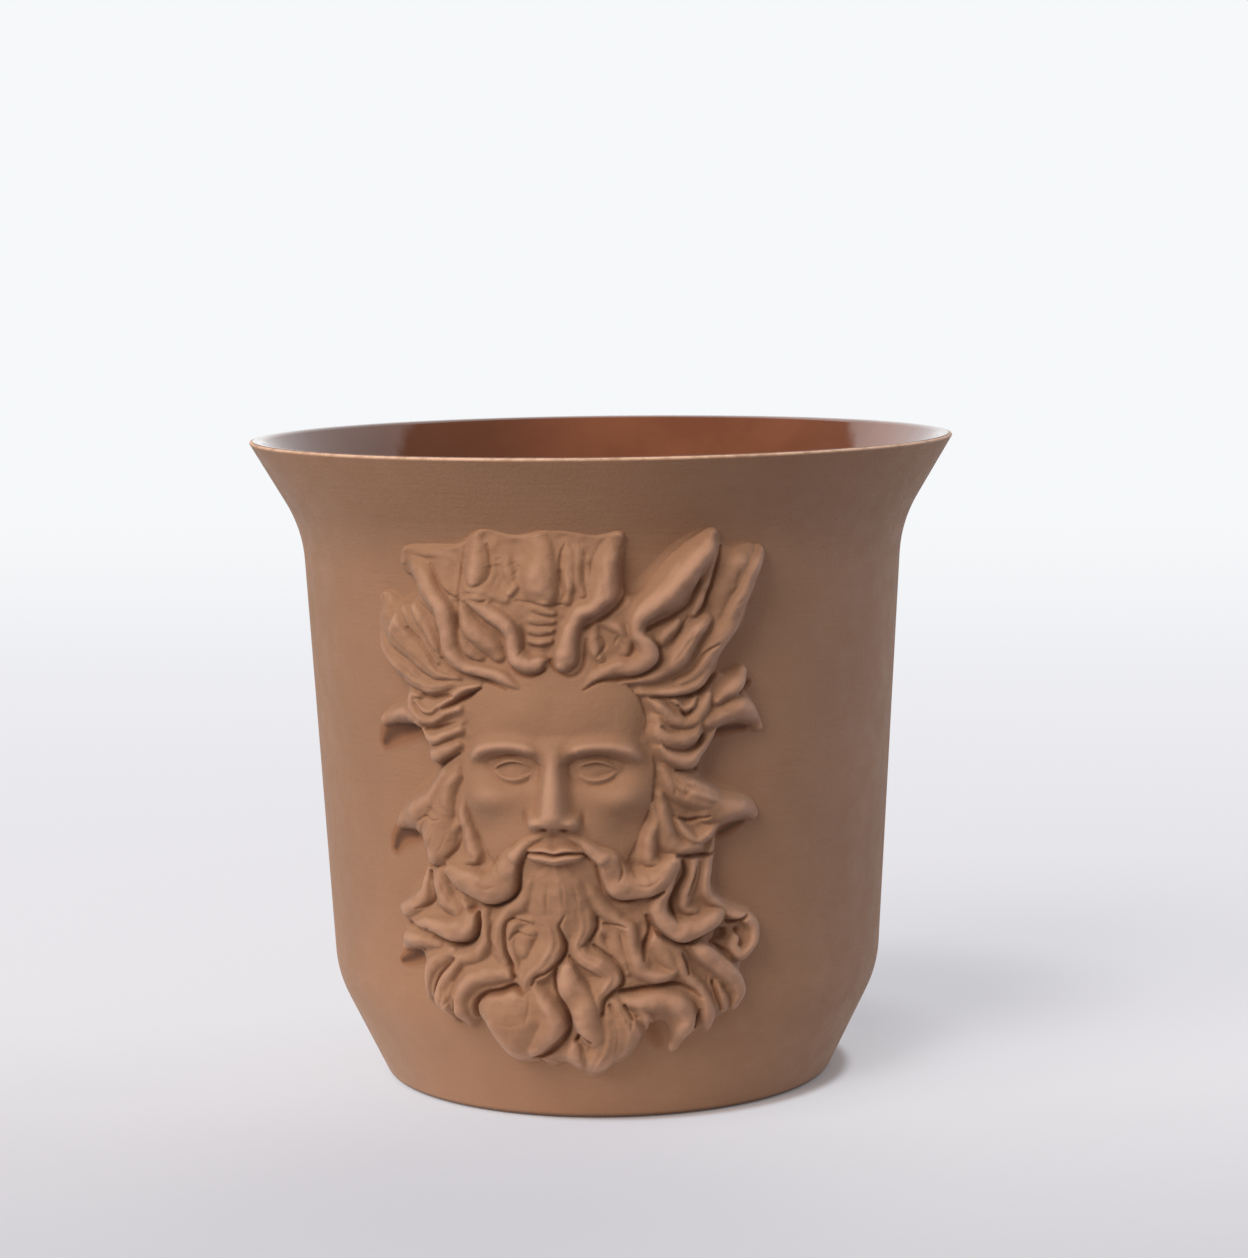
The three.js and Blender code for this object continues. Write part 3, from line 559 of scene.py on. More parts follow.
        (19.6, 27.9, 0.75), (21.6, 27.2, 0.6), (23.2, 26.8, 0.3)]),
    "jaw_lock_right_inner": ("side_right", "soft", 0.0, [
        (15.3, 33.4, 0.4), (15.2, 31.2, 0.6), (14.6, 29.4, 0.6), (14.6, 27.9, 0.6), (15.8, 27.4, 0.5)]),
    "jaw_curl_right": ("side_right", "rolled", 0.5, [
        (13.2, 33.0, 0.6), (12.0, 31.0, 1.0), (11.0, 28.8, 1.1), (11.4, 26.5, 1.15), (13.3, 25.2, 1.3),
        (15.6, 25.5, 1.45), (17.9, 26.3, 1.2), (19.3, 27.1, 0.6)]),
    "jaw_curl_right_outer": ("side_right", "rolled", 0.3, [
        (20.3, 27.0, 0.5), (22.2, 26.4, 0.8), (23.6, 24.8, 1.0), (23.5, 22.7, 1.1), (21.9, 21.7, 1.0),
        (20.6, 22.6, 0.7), (20.9, 23.9, 0.5)]),
    # Moustache, and the strands that run down to it
    "moustache_left": ("moustache", "rolled", 0.5, [
        (-1.3, 36.8, 0.5), (-3.2, 36.2, 0.95), (-4.9, 34.8, 1.4), (-5.9, 32.8, 1.75),
        (-6.9, 31.1, 2.05), (-8.8, 30.7, 2.0), (-10.8, 31.6, 1.8), (-12.6, 32.6, 1.1)]),
    "moustache_right": ("moustache", "rolled", 0.5, [
        (1.3, 36.8, 0.5), (3.3, 36.2, 0.95), (5.2, 34.8, 1.35), (6.2, 33.0, 1.65), (7.2, 31.5, 1.9),
        (9.0, 31.1, 1.95), (11.0, 32.1, 1.75), (12.8, 33.8, 1.0)]),
    "moustache_top_left": ("moustache", "rolled", 1.0, [
        (-0.5, 37.5, 0.4), (-1.8, 37.2, 0.7), (-3.2, 36.5, 0.95), (-4.6, 35.0, 1.2)]),
    "moustache_top_right": ("moustache", "rolled", 1.0, [
        (0.5, 37.5, 0.4), (1.8, 37.2, 0.7), (3.3, 36.5, 0.95), (4.9, 35.0, 1.2)]),
    "cheek_strand_left_inner": ("side_left", "soft", 0.2, [
        (-10.0, 41.6, 0.4), (-10.7, 39.4, 0.8), (-10.4, 37.0, 0.9), (-10.0, 34.8, 0.9),
        (-11.2, 33.4, 0.6)]),
    "cheek_strand_right_inner": ("side_right", "soft", 0.2, [
        (10.4, 41.0, 0.4), (10.7, 38.8, 0.8), (10.2, 36.8, 0.9), (10.2, 34.8, 0.8), (11.4, 33.6, 0.5)]),
    # Beard
    "beard_fan": ("beard", "combed", 0.25, [
        (0.1, 33.4, 1.4), (0.2, 32.0, 2.6), (0.3, 30.2, 3.6), (0.3, 28.4, 3.6), (0.3, 27.0, 2.6)]),
    "beard_fan_left": ("beard", "soft", 0.1, [
        (-2.6, 32.6, 0.6), (-3.6, 30.8, 1.0), (-4.6, 28.8, 1.0), (-6.0, 27.2, 0.7)]),
    "beard_fan_right": ("beard", "soft", 0.1, [
        (2.8, 32.8, 0.6), (3.8, 31.0, 1.0), (5.0, 29.0, 1.0), (6.4, 27.4, 0.7)]),
    "beard_strand_centre_left": ("beard", "combed", 0.3, [
        (-1.2, 32.0, 0.5), (-1.6, 30.4, 1.2), (-1.9, 28.4, 1.5), (-1.4, 26.2, 1.5), (-1.3, 24.0, 1.6),
        (-2.2, 22.0, 1.8), (-3.9, 20.4, 1.4), (-4.3, 18.9, 0.9)]),
    "beard_strand_centre_right": ("beard", "combed", 0.35, [
        (1.4, 32.0, 0.5), (1.9, 30.2, 1.2), (2.5, 28.2, 1.5), (2.5, 26.0, 1.3), (1.9, 24.3, 1.0),
        (2.7, 22.8, 1.15), (4.7, 21.8, 1.35), (6.0, 20.4, 1.2), (5.2, 18.7, 1.2), (4.2, 17.2, 1.1),
        (4.4, 15.6, 0.7)]),
    "beard_strand_left": ("beard", "combed", 0.1, [
        (-3.6, 31.8, 0.5), (-4.2, 29.6, 0.9), (-5.6, 27.6, 0.9), (-6.9, 25.6, 0.9), (-7.3, 23.4, 0.9),
        (-7.0, 21.4, 0.6)]),
    "beard_loop_left": ("beard", "soft", 0.15, [
        (-2.9, 27.4, 0.4), (-4.6, 26.3, 0.55), (-5.6, 24.6, 0.6), (-5.7, 22.6, 0.6),
        (-5.4, 20.6, 0.4)]),
    "beard_loop_left_inner": ("beard", "soft", 0.0, [
        (-3.3, 25.6, 0.5), (-4.2, 24.4, 0.8), (-4.4, 22.8, 0.7)]),
    "beard_strand_left_outer": ("beard", "soft", 0.0, [
        (-8.6, 28.2, 0.5), (-9.0, 26.0, 0.7), (-8.8, 23.8, 0.8), (-9.8, 22.2, 0.8), (-11.8, 21.6, 0.7),
        (-13.6, 21.9, 0.4)]),
    "beard_bead": ("beard", "soft", -0.1, [(0.6, 26.4, 0.55), (0.5, 25.6, 0.4)]),
    "beard_arc_left": ("beard", "soft", 0.35, [
        (-5.9, 20.4, 0.6), (-8.2, 20.1, 1.0), (-10.8, 19.1, 1.15), (-12.6, 17.2, 1.1),
        (-12.9, 14.8, 0.95), (-12.3, 12.2, 0.6)]),
    "beard_lobe_left": ("beard", "soft", 0.15, [
        (-3.6, 18.0, 0.9), (-4.2, 16.6, 2.6), (-5.3, 14.8, 4.1), (-5.9, 12.8, 3.7), (-6.2, 10.8, 2.4)]),
    "beard_lobe_left_inner": ("beard", "soft", 0.5, [
        (-3.0, 19.0, 0.7), (-2.0, 17.2, 1.5), (-1.2, 15.0, 1.7), (-1.8, 12.8, 1.7), (-3.4, 11.2, 1.2)]),
    "beard_lobe_right": ("beard", "rolled", 0.5, [
        (1.0, 21.2, 0.9), (1.4, 19.2, 1.5), (2.3, 17.0, 1.6), (2.9, 14.8, 1.6), (3.7, 12.6, 1.3),
        (4.2, 11.2, 0.7)]),
    "beard_tip": ("beard", "combed", 0.2, [
        (5.3, 15.2, 0.5), (5.3, 12.6, 1.2), (4.9, 10.0, 1.7), (3.9, 7.9, 1.6), (3.0, 6.3, 0.9)]),
    "beard_tip_left": ("beard", "soft", -0.1, [(1.2, 11.2, 0.6), (1.0, 9.4, 1.2), (1.2, 7.8, 0.9)]),
    "beard_tip_curl": ("beard", "soft", -0.2, [(-2.9, 9.2, 0.4), (-2.2, 8.2, 0.6), (-2.8, 7.4, 0.5)]),
    "beard_strand_right": ("beard", "soft", 0.15, [
        (4.0, 30.8, 0.5), (4.8, 28.8, 0.9), (6.4, 27.0, 0.8), (8.0, 25.6, 0.8), (8.5, 23.6, 0.9),
        (8.9, 21.6, 1.0), (9.6, 20.2, 0.8), (11.4, 19.9, 0.8), (12.9, 20.6, 0.5)]),
    "beard_loop_right_inner": ("beard", "soft", 0.0, [
        (4.9, 26.0, 0.4), (6.2, 25.2, 0.6), (6.8, 23.8, 0.8), (7.3, 22.2, 0.8), (7.6, 20.8, 0.5)]),
    "beard_curl_right_small": ("beard", "soft", 0.0, [
        (4.5, 25.4, 0.35), (5.0, 24.2, 0.5), (6.0, 23.4, 0.4)]),
    "beard_fill_right": ("beard", "soft", -0.1, [
        (10.9, 24.6, 0.7), (11.8, 22.6, 1.0), (12.8, 21.0, 0.8)]),
    "beard_strand_right_outer": ("beard", "soft", 0.0, [
        (12.0, 23.6, 0.5), (13.4, 22.4, 0.9), (14.0, 20.6, 0.9), (15.0, 19.2, 0.6)]),
    "beard_lock_right_low": ("beard", "soft", 0.2, [
        (7.8, 16.8, 0.7), (10.2, 16.7, 1.2), (12.6, 16.4, 1.4), (14.3, 15.0, 1.4), (14.6, 12.6, 1.35),
        (14.0, 10.2, 1.0), (13.7, 9.0, 0.5)]),
    "beard_tip_right_small": ("beard", "soft", 0.1, [
        (9.0, 16.0, 0.6), (9.6, 14.6, 0.65), (10.0, 13.2, 0.4)]),
    "beard_tip_right_mid": ("beard", "combed", 0.0, [
        (6.3, 16.6, 0.5), (6.9, 14.8, 1.2), (7.5, 12.6, 1.7), (7.5, 10.6, 1.7), (6.9, 9.0, 1.0)]),
    "beard_strand_right_low": ("beard", "soft", 0.1, [
        (14.6, 19.6, 0.5), (15.9, 18.0, 0.85), (17.2, 15.9, 1.0), (18.0, 13.6, 1.0),
        (18.5, 11.4, 0.5)]),
    "beard_strand_far_right": ("beard", "rolled", 0.35, [
        (15.2, 23.4, 0.6), (16.9, 22.0, 1.15), (19.0, 20.4, 1.2), (21.0, 18.9, 1.15),
        (22.1, 17.0, 1.15), (21.6, 15.0, 0.8)]),
    "beard_fill_far_right": ("beard", "soft", -0.1, [
        (18.9, 17.8, 0.5), (19.6, 16.2, 0.75), (20.3, 14.6, 0.5)]),
    "beard_strand_left_mid": ("beard", "soft", 0.2, [
        (-12.0, 21.8, 0.5), (-13.8, 19.9, 0.8), (-15.2, 17.8, 0.9), (-16.1, 15.8, 0.8),
        (-16.2, 14.2, 0.4)]),
    "beard_strand_far_left": ("beard", "soft", 0.15, [
        (-13.2, 22.4, 0.5), (-15.4, 21.2, 0.8), (-17.2, 19.6, 0.9), (-18.5, 17.6, 0.9),
        (-18.9, 15.8, 0.7), (-18.8, 14.6, 0.4)]),
    "beard_strand_left_low": ("beard", "soft", 0.1, [
        (-13.6, 18.6, 0.4), (-14.8, 16.6, 0.8), (-15.2, 14.6, 0.9), (-15.0, 12.8, 0.7)]),
}

# The plume stands on a stem of stacked rings.
stem_rings = 4
stem_base = 60.9
ring_spacing = 1.15
for ring in range(stem_rings):
    level = stem_base + ring_spacing * ring
    stations = [(-2.1, level + 0.3, 0.4), (-1.3, level, 0.5), (-0.5, level - 0.15, 0.4)]
    locks[f"plume_stem_ring_{ring}"] = ("crown", "rolled", 0.1, stations)

# Creases between the locks, as (across, height, half width) stations

creases = [
    # Crown, left
    [(-12.6, 60.5, 0.2), (-12.5, 58.2, 0.3), (-11.6, 57.0, 0.35), (-10.2, 56.3, 0.4),
     (-8.2, 56.1, 0.45), (-6.6, 55.7, 0.4), (-5.2, 55.0, 0.25)],
    [(-10.4, 64.9, 0.3), (-10.1, 62.2, 0.4), (-9.9, 60.2, 0.4), (-9.3, 58.9, 0.3), (-7.9, 58.2, 0.2)],
    [(-15.1, 69.4, 0.25), (-13.5, 67.5, 0.5), (-12.0, 66.0, 0.4), (-10.7, 65.2, 0.3)],
    [(-17.0, 65.6, 0.2), (-14.9, 64.0, 0.3), (-13.3, 62.5, 0.35), (-12.5, 60.8, 0.3)],
    [(-17.4, 61.5, 0.45), (-16.2, 60.7, 0.35), (-15.2, 59.2, 0.35), (-14.0, 57.6, 0.35),
     (-12.8, 56.4, 0.3), (-11.2, 55.9, 0.2)],
    [(-15.0, 61.6, 0.2), (-14.4, 60.0, 0.3), (-13.4, 58.8, 0.3), (-12.7, 58.3, 0.2)],
    [(-18.8, 58.2, 0.2), (-17.2, 56.9, 0.25), (-15.6, 55.6, 0.25), (-13.5, 55.2, 0.25),
     (-11.5, 55.2, 0.2)],
    [(-19.4, 55.4, 0.2), (-17.4, 54.2, 0.3), (-15.4, 53.2, 0.35), (-13.2, 53.3, 0.45),
     (-11.5, 53.5, 0.3)],
    [(-8.3, 54.8, 0.3), (-9.8, 53.7, 0.5), (-11.4, 52.8, 0.5), (-13.0, 52.2, 0.3)],
    [(-9.0, 64.8, 0.25), (-7.6, 63.5, 0.3), (-6.0, 62.2, 0.3), (-5.2, 60.8, 0.25), (-4.9, 58.8, 0.25)],
    [(-3.1, 63.0, 0.2), (-2.8, 61.6, 0.35), (-2.9, 60.3, 0.32), (-3.3, 59.3, 0.2)],
    [(-4.4, 57.3, 0.25), (-3.7, 56.6, 0.35), (-2.5, 56.3, 0.4), (-1.4, 57.0, 0.4), (-0.9, 58.2, 0.35)],
    [(-7.2, 71.8, 0.35), (-6.8, 70.6, 0.4), (-6.6, 68.8, 0.35), (-7.2, 67.3, 0.25), (-8.4, 66.8, 0.15)],
    [(-7.9, 65.2, 0.2), (-7.2, 65.4, 0.3), (-6.6, 65.6, 0.15)],
    [(-10.2, 71.5, 0.2), (-10.1, 68.0, 0.2), (-9.7, 65.6, 0.25)],
    # Crown, right
    [(-0.5, 58.4, 0.4), (0.2, 57.0, 0.35), (1.5, 56.4, 0.4), (2.8, 57.2, 0.4), (3.5, 58.8, 0.45),
     (3.6, 60.6, 0.3)],
    [(3.2, 61.9, 0.4), (4.2, 62.7, 0.5), (5.8, 63.7, 0.5), (7.2, 65.0, 0.5), (8.2, 67.2, 0.45),
     (8.5, 70.0, 0.4)],
    [(3.2, 55.1, 0.25), (4.8, 56.2, 0.4), (7.2, 56.2, 0.45), (9.4, 56.7, 0.4), (11.0, 58.0, 0.45),
     (11.4, 59.6, 0.5), (10.6, 60.9, 0.5), (9.9, 61.7, 0.45), (10.9, 62.5, 0.5), (13.0, 63.8, 0.5),
     (15.0, 65.1, 0.4), (15.9, 67.2, 0.35), (16.2, 69.0, 0.2)],
    [(12.6, 60.2, 0.2), (13.6, 61.9, 0.35), (14.6, 63.4, 0.2)],
    [(15.4, 63.4, 0.3), (16.6, 64.4, 0.5), (17.4, 66.4, 0.5), (18.2, 69.0, 0.5), (19.0, 71.2, 0.4)],
    [(12.8, 55.7, 0.25), (14.6, 56.9, 0.35), (16.3, 58.6, 0.35), (18.1, 59.8, 0.25)],
    [(10.2, 53.8, 0.3), (12.5, 53.6, 0.35), (14.8, 53.8, 0.5), (16.6, 54.7, 0.55), (18.6, 56.2, 0.5)],
    [(1.6, 72.4, 0.2), (0.9, 71.0, 0.35), (0.8, 68.5, 0.4), (1.1, 66.6, 0.4), (0.6, 65.6, 0.25)],
    [(-3.6, 65.4, 0.25), (-1.4, 64.9, 0.3), (0.6, 65.2, 0.25)],
    [(7.0, 61.2, 0.15), (6.7, 60.7, 0.25), (6.5, 60.0, 0.15)],
    [(5.2, 61.0, 0.2), (5.5, 60.0, 0.35), (4.8, 58.9, 0.25)],
    [(24.6, 70.2, 0.2), (23.3, 67.6, 0.4), (21.9, 64.6, 0.45), (20.6, 61.4, 0.45), (19.0, 58.6, 0.4)],
    # Left side
    [(-11.4, 50.7, 0.2), (-12.8, 50.2, 0.4), (-14.2, 49.7, 0.45), (-15.6, 49.4, 0.3)],
    [(-11.8, 48.4, 0.15), (-13.2, 47.6, 0.2), (-14.8, 47.3, 0.15)],
    [(-11.4, 46.5, 0.3), (-12.6, 45.7, 0.5), (-13.9, 45.0, 0.55), (-15.2, 44.7, 0.35)],
    [(-17.6, 33.1, 0.3), (-16.0, 32.9, 0.45), (-14.2, 33.0, 0.35), (-12.8, 33.3, 0.2)],
    [(-11.4, 37.6, 0.12), (-11.6, 36.4, 0.2), (-12.1, 35.2, 0.3), (-13.2, 34.2, 0.3)],
    [(-17.4, 38.3, 0.2), (-16.2, 38.9, 0.25), (-14.8, 38.3, 0.25), (-13.8, 38.3, 0.15)],
    [(-16.0, 32.0, 0.4), (-15.5, 30.2, 0.4), (-15.7, 28.6, 0.4), (-16.8, 27.5, 0.35),
     (-18.3, 26.9, 0.2)],
    [(-16.2, 23.5, 0.3), (-14.0, 23.1, 0.4), (-12.0, 23.1, 0.5), (-10.4, 24.0, 0.55), (-9.6, 25.6, 0.5),
     (-9.4, 27.4, 0.4)],
    # Moustache
    [(-2.9, 35.6, 0.3), (-3.9, 34.4, 0.5), (-4.3, 32.8, 0.55), (-4.5, 31.0, 0.55), (-5.5, 29.3, 0.5),
     (-7.2, 28.6, 0.5), (-8.8, 28.8, 0.45), (-10.4, 29.3, 0.35), (-12.0, 29.7, 0.2)],
    [(2.9, 35.6, 0.3), (4.3, 34.3, 0.45), (4.9, 32.6, 0.4), (5.8, 30.6, 0.45), (7.4, 29.3, 0.5),
     (9.4, 29.4, 0.5), (11.4, 30.3, 0.35)],
    [(6.8, 34.6, 0.2), (7.2, 33.0, 0.3), (7.0, 32.0, 0.15)],
    [(8.2, 34.0, 0.2), (8.6, 32.6, 0.25)],
    [(-6.9, 34.8, 0.15), (-6.8, 33.0, 0.2)],
    # Right side
    [(11.2, 50.4, 0.25), (12.4, 49.6, 0.25), (13.6, 49.5, 0.2)],
    [(11.6, 48.6, 0.15), (12.6, 47.5, 0.25), (14.4, 47.2, 0.25), (15.8, 47.8, 0.35), (16.2, 49.0, 0.4)],
    [(13.2, 52.6, 0.3), (14.2, 51.4, 0.35), (14.8, 52.2, 0.2)],
    [(13.4, 45.0, 0.35), (15.2, 44.7, 0.5), (17.0, 44.6, 0.6), (18.2, 43.4, 0.5)],
    [(18.6, 49.2, 0.4), (20.4, 49.6, 0.45), (22.8, 49.0, 0.35)],
    [(20.8, 53.6, 0.5), (21.8, 54.2, 0.6), (22.8, 54.0, 0.4)],
    [(13.2, 39.0, 0.3), (14.6, 38.4, 0.4), (16.2, 38.9, 0.3), (17.0, 39.2, 0.2)],
    [(13.4, 34.4, 0.35), (15.2, 34.0, 0.5), (17.2, 34.1, 0.45), (18.2, 34.5, 0.3)],
    [(19.8, 36.4, 0.5), (21.2, 36.5, 0.6), (22.8, 37.0, 0.4)],
    [(14.2, 33.5, 0.3), (14.3, 31.6, 0.4), (13.2, 29.6, 0.4), (12.8, 28.0, 0.45), (13.4, 26.4, 0.35)],
    [(15.6, 32.6, 0.2), (15.4, 31.0, 0.3), (15.0, 29.4, 0.25)],
    [(10.0, 27.0, 0.35), (10.7, 25.4, 0.5), (12.2, 24.1, 0.5), (14.1, 23.6, 0.5), (16.2, 24.0, 0.4),
     (17.6, 24.4, 0.2)],
    [(19.4, 34.0, 0.4), (19.6, 31.4, 0.6), (20.4, 29.8, 0.5), (22.0, 28.6, 0.3)],
    [(20.2, 26.0, 0.4), (21.2, 26.1, 0.5), (22.4, 26.6, 0.3)],
    [(18.2, 23.0, 0.5), (19.2, 23.8, 0.5), (19.8, 24.8, 0.35)],
    [(18.4, 23.0, 0.4), (20.0, 21.9, 0.35), (21.0, 21.0, 0.25)],
    # Beard
    [(0.6, 27.9, 0.25), (-0.1, 26.6, 0.35), (0.2, 25.0, 0.45), (0.4, 23.6, 0.45), (-0.1, 22.0, 0.45),
     (-1.6, 20.9, 0.4), (-3.0, 20.2, 0.4), (-3.4, 19.2, 0.25)],
    [(-0.5, 21.6, 0.4), (-0.4, 19.8, 0.45), (0.1, 18.0, 0.45), (0.7, 16.2, 0.5), (0.8, 14.4, 0.6),
     (0.2, 12.8, 0.7), (-1.6, 10.9, 0.8), (-3.6, 9.9, 0.5)],
    [(-3.6, 26.6, 0.25), (-5.4, 26.5, 0.3), (-6.2, 25.0, 0.3), (-6.3, 23.0, 0.35), (-6.1, 21.2, 0.5),
     (-5.8, 20.0, 0.5)],
    [(-5.6, 24.0, 0.2), (-4.8, 25.0, 0.25), (-3.4, 24.9, 0.2)],
    [(-7.8, 26.4, 0.2), (-8.3, 24.4, 0.3), (-7.8, 22.4, 0.25)],
    [(-4.4, 18.0, 0.4), (-5.8, 18.8, 0.7), (-7.4, 18.1, 0.7), (-9.0, 17.4, 0.6), (-10.4, 16.2, 0.6),
     (-10.8, 14.6, 0.6), (-10.6, 13.0, 0.4)],
    [(-9.6, 12.0, 0.3), (-9.1, 10.6, 0.3)],
    [(-13.3, 21.3, 0.35), (-15.0, 19.7, 0.4), (-16.5, 17.4, 0.5), (-17.1, 15.6, 0.5),
     (-17.2, 14.2, 0.4)],
    [(-13.4, 16.8, 0.3), (-13.6, 15.2, 0.45), (-13.8, 13.6, 0.6), (-14.0, 12.2, 0.5)],
    [(-23.2, 24.4, 0.3), (-21.6, 24.7, 0.5), (-19.8, 24.9, 0.4), (-18.6, 24.6, 0.2)],
    [(4.2, 27.3, 0.35), (4.2, 26.0, 0.4), (3.4, 24.8, 0.35), (2.6, 24.2, 0.2)],
    [(4.0, 24.2, 0.3), (5.4, 23.3, 0.35), (6.6, 22.2, 0.35), (7.3, 20.8, 0.4), (7.1, 19.2, 0.45),
     (6.0, 18.0, 0.5), (5.0, 16.8, 0.5), (4.7, 15.2, 0.45)],
    [(0.9, 22.6, 0.35), (2.4, 21.5, 0.35), (4.2, 20.5, 0.25)],
    [(5.0, 26.5, 0.25), (6.6, 26.4, 0.3), (7.6, 26.0, 0.2)],
    [(9.8, 27.0, 0.35), (10.4, 25.2, 0.5), (10.0, 23.2, 0.5), (9.8, 21.8, 0.3)],
    [(6.8, 18.2, 0.5), (8.6, 18.3, 0.6), (10.6, 18.5, 0.6), (12.6, 18.8, 0.5), (14.2, 18.4, 0.35),
     (15.4, 17.6, 0.4), (16.2, 16.9, 0.25)],
    [(7.2, 16.4, 0.35), (7.9, 14.8, 0.35)],
    [(5.6, 16.2, 0.3), (6.2, 15.0, 0.2)],
    [(18.2, 18.4, 0.35), (18.8, 16.8, 0.45), (19.6, 15.0, 0.35)],
    [(16.4, 15.2, 0.3), (16.3, 13.8, 0.55), (16.6, 12.4, 0.4)],
    [(13.8, 22.6, 0.3), (14.6, 21.2, 0.45), (14.9, 19.8, 0.3)],
    [(10.0, 14.0, 0.4), (10.6, 12.6, 0.6), (12.0, 12.2, 0.5)],
    [(1.6, 12.0, 0.5), (2.2, 12.8, 0.4), (3.4, 11.8, 0.4)],
]

# Painted shadows under the tips that stand clear of the wall, each on a thin skin of clay: darkness,
# and stations as for a lock
painted_shadows = [
    (1.0, [
        (-17.0, 49.2, 1.0), (-19.2, 49.3, 1.8), (-21.3, 48.9, 2.2), (-23.0, 47.9, 2.0),
        (-24.2, 46.6, 1.2)]),
    (1.0, [(-19.4, 36.2, 1.0), (-21.4, 36.0, 1.8), (-22.8, 35.1, 1.8), (-23.6, 33.6, 1.1)]),
    (1.0, [(-19.4, 21.2, 0.9), (-20.8, 20.7, 1.7), (-22.2, 20.0, 1.4), (-23.6, 19.4, 0.7)]),
    (0.9, [(20.3, 53.7, 0.7), (21.4, 54.0, 1.1), (22.6, 54.6, 0.7)]),
    (0.9, [(17.6, 48.9, 0.9), (20.0, 49.4, 1.1), (22.4, 49.2, 0.8)]),
    (0.9, [(19.0, 36.6, 0.9), (20.6, 37.0, 1.1), (22.6, 37.4, 0.6)]),
    (0.4, [(10.2, 14.4, 0.8), (10.6, 13.0, 1.4), (11.2, 12.0, 1.5), (12.0, 10.8, 1.1)]),
]

# Creases pressed faintly into broad leaves and lobes
faint_creases = [
    [(-20.4, 62.6, 0.2), (-18.6, 60.4, 0.4), (-16.6, 58.4, 0.4), (-14.4, 56.9, 0.2)],
    [(-20.2, 59.6, 0.2), (-18.2, 57.6, 0.4), (-16.0, 56.2, 0.4), (-13.8, 55.6, 0.2)],
    [(-18.2, 63.8, 0.2), (-16.6, 62.2, 0.35), (-15.2, 60.6, 0.2)],
    [(-16.8, 68.4, 0.2), (-15.2, 66.4, 0.35), (-13.4, 64.6, 0.35), (-12.2, 62.6, 0.2)],
    [(10.6, 66.0, 0.2), (12.6, 67.8, 0.4), (14.6, 70.2, 0.4), (16.2, 72.2, 0.2)],
    [(19.4, 61.4, 0.2), (20.8, 64.4, 0.35), (22.2, 67.4, 0.35), (23.2, 69.6, 0.2)],
    [(12.6, 58.2, 0.2), (13.9, 59.8, 0.35), (15.4, 61.4, 0.2)],
    [(-14.6, 36.8, 0.2), (-15.2, 35.8, 0.35), (-16.2, 35.4, 0.2)],
    [(-13.0, 36.6, 0.2), (-13.6, 35.4, 0.3), (-14.4, 34.8, 0.2)],
    [(12.6, 44.4, 0.2), (13.2, 43.0, 0.4), (14.2, 41.6, 0.2)],
    [(14.0, 44.0, 0.2), (14.6, 42.8, 0.35), (15.6, 41.6, 0.2)],
    [(-9.6, 31.8, 0.2), (-8.4, 30.9, 0.35), (-7.0, 31.2, 0.2)],
    [(8.0, 31.9, 0.2), (9.4, 31.4, 0.35), (11.0, 32.4, 0.2)],
    [(-1.0, 31.6, 0.2), (-1.2, 30.2, 0.35), (-1.4, 28.6, 0.2)],
    [(0.4, 31.8, 0.2), (0.5, 30.4, 0.35), (0.6, 29.0, 0.2)],
    [(1.6, 31.6, 0.2), (2.0, 30.2, 0.35), (2.4, 28.6, 0.2)],
    [(17.0, 22.6, 0.2), (18.8, 21.2, 0.35), (20.6, 19.8, 0.2)],
    [(-3.6, 17.4, 0.2), (-3.8, 16.2, 0.3), (-4.2, 14.6, 0.25)],
    [(-7.5, 14.0, 0.2), (-6.2, 13.9, 0.25), (-5.0, 14.3, 0.2)],
]

# Patches of clay that were worked over with a tool: middle, spread, heading in degrees, marks
tool_patches = [
    (-5.0, 69.0, 1.2, 2.6, 75.0, 9), (3.0, 69.2, 1.7, 3.0, 115.0, 16), (-8.0, 61.2, 1.4, 1.6, 130.0, 6),
    (-16.6, 64.4, 1.8, 1.2, 140.0, 5), (16.0, 61.5, 1.4, 1.2, 45.0, 5), (20.6, 66.4, 1.0, 3.0, 65.0, 5),
    (-13.6, 40.6, 1.8, 2.0, 110.0, 5), (14.4, 42.6, 1.4, 1.8, 120.0, 6),
    (-13.6, 29.4, 1.2, 1.4, 100.0, 5), (9.0, 33.6, 1.6, 1.4, 95.0, 5), (-9.0, 33.8, 1.6, 1.2, 85.0, 4),
    (8.2, 13.8, 1.4, 1.8, 95.0, 6), (-14.6, 16.0, 1.6, 2.2, 70.0, 6), (17.6, 18.6, 1.6, 1.8, 125.0, 6),
    (3.4, 10.4, 1.6, 1.6, 80.0, 5), (-17.4, 24.0, 1.6, 1.0, 15.0, 4),
]

# Small pits, as (across, height, half width)
pits = [
    (-10.2, 27.9, 0.45), (-18.5, 21.8, 0.35), (-3.6, 8.5, 0.45), (21.4, 24.3, 0.45),
]


# Face

# Soft forms: rise, place to the side, height above the table, width and tallness
face_forms = {
    "forehead": (0.35, 3.2, brow_line + 4.4, 2.8, 2.4),
    "temple": (-0.7, 9.8, brow_line + 1.5, 1.6, 2.8),
    "cheekbone": (1.0, 7.2, nose_base + 3.6, 2.7, 1.9),
    "cheek_hollow": (-0.65, 7.6, nose_base - 0.6, 2.0, 2.2),
    "muzzle": (0.75, 0.0, mouth_line + 0.4, 3.8, 2.8),
    "chin_ball": (0.8, 0.0, chin + 2.0, 2.4, 1.7),
}
nose_forms = {
    "wing": (1.4, 2.0, nose_base + 0.8, 0.8, 0.85),
    "wing_fold": (-0.35, 3.0, nose_base + 1.1, 0.35, 0.9),
    "nostril": (-0.8, 1.05, nose_base - 0.05, 0.45, 0.3),
    "philtrum": (-0.25, 0.0, nose_base - 1.0, 0.5, 0.8),
}


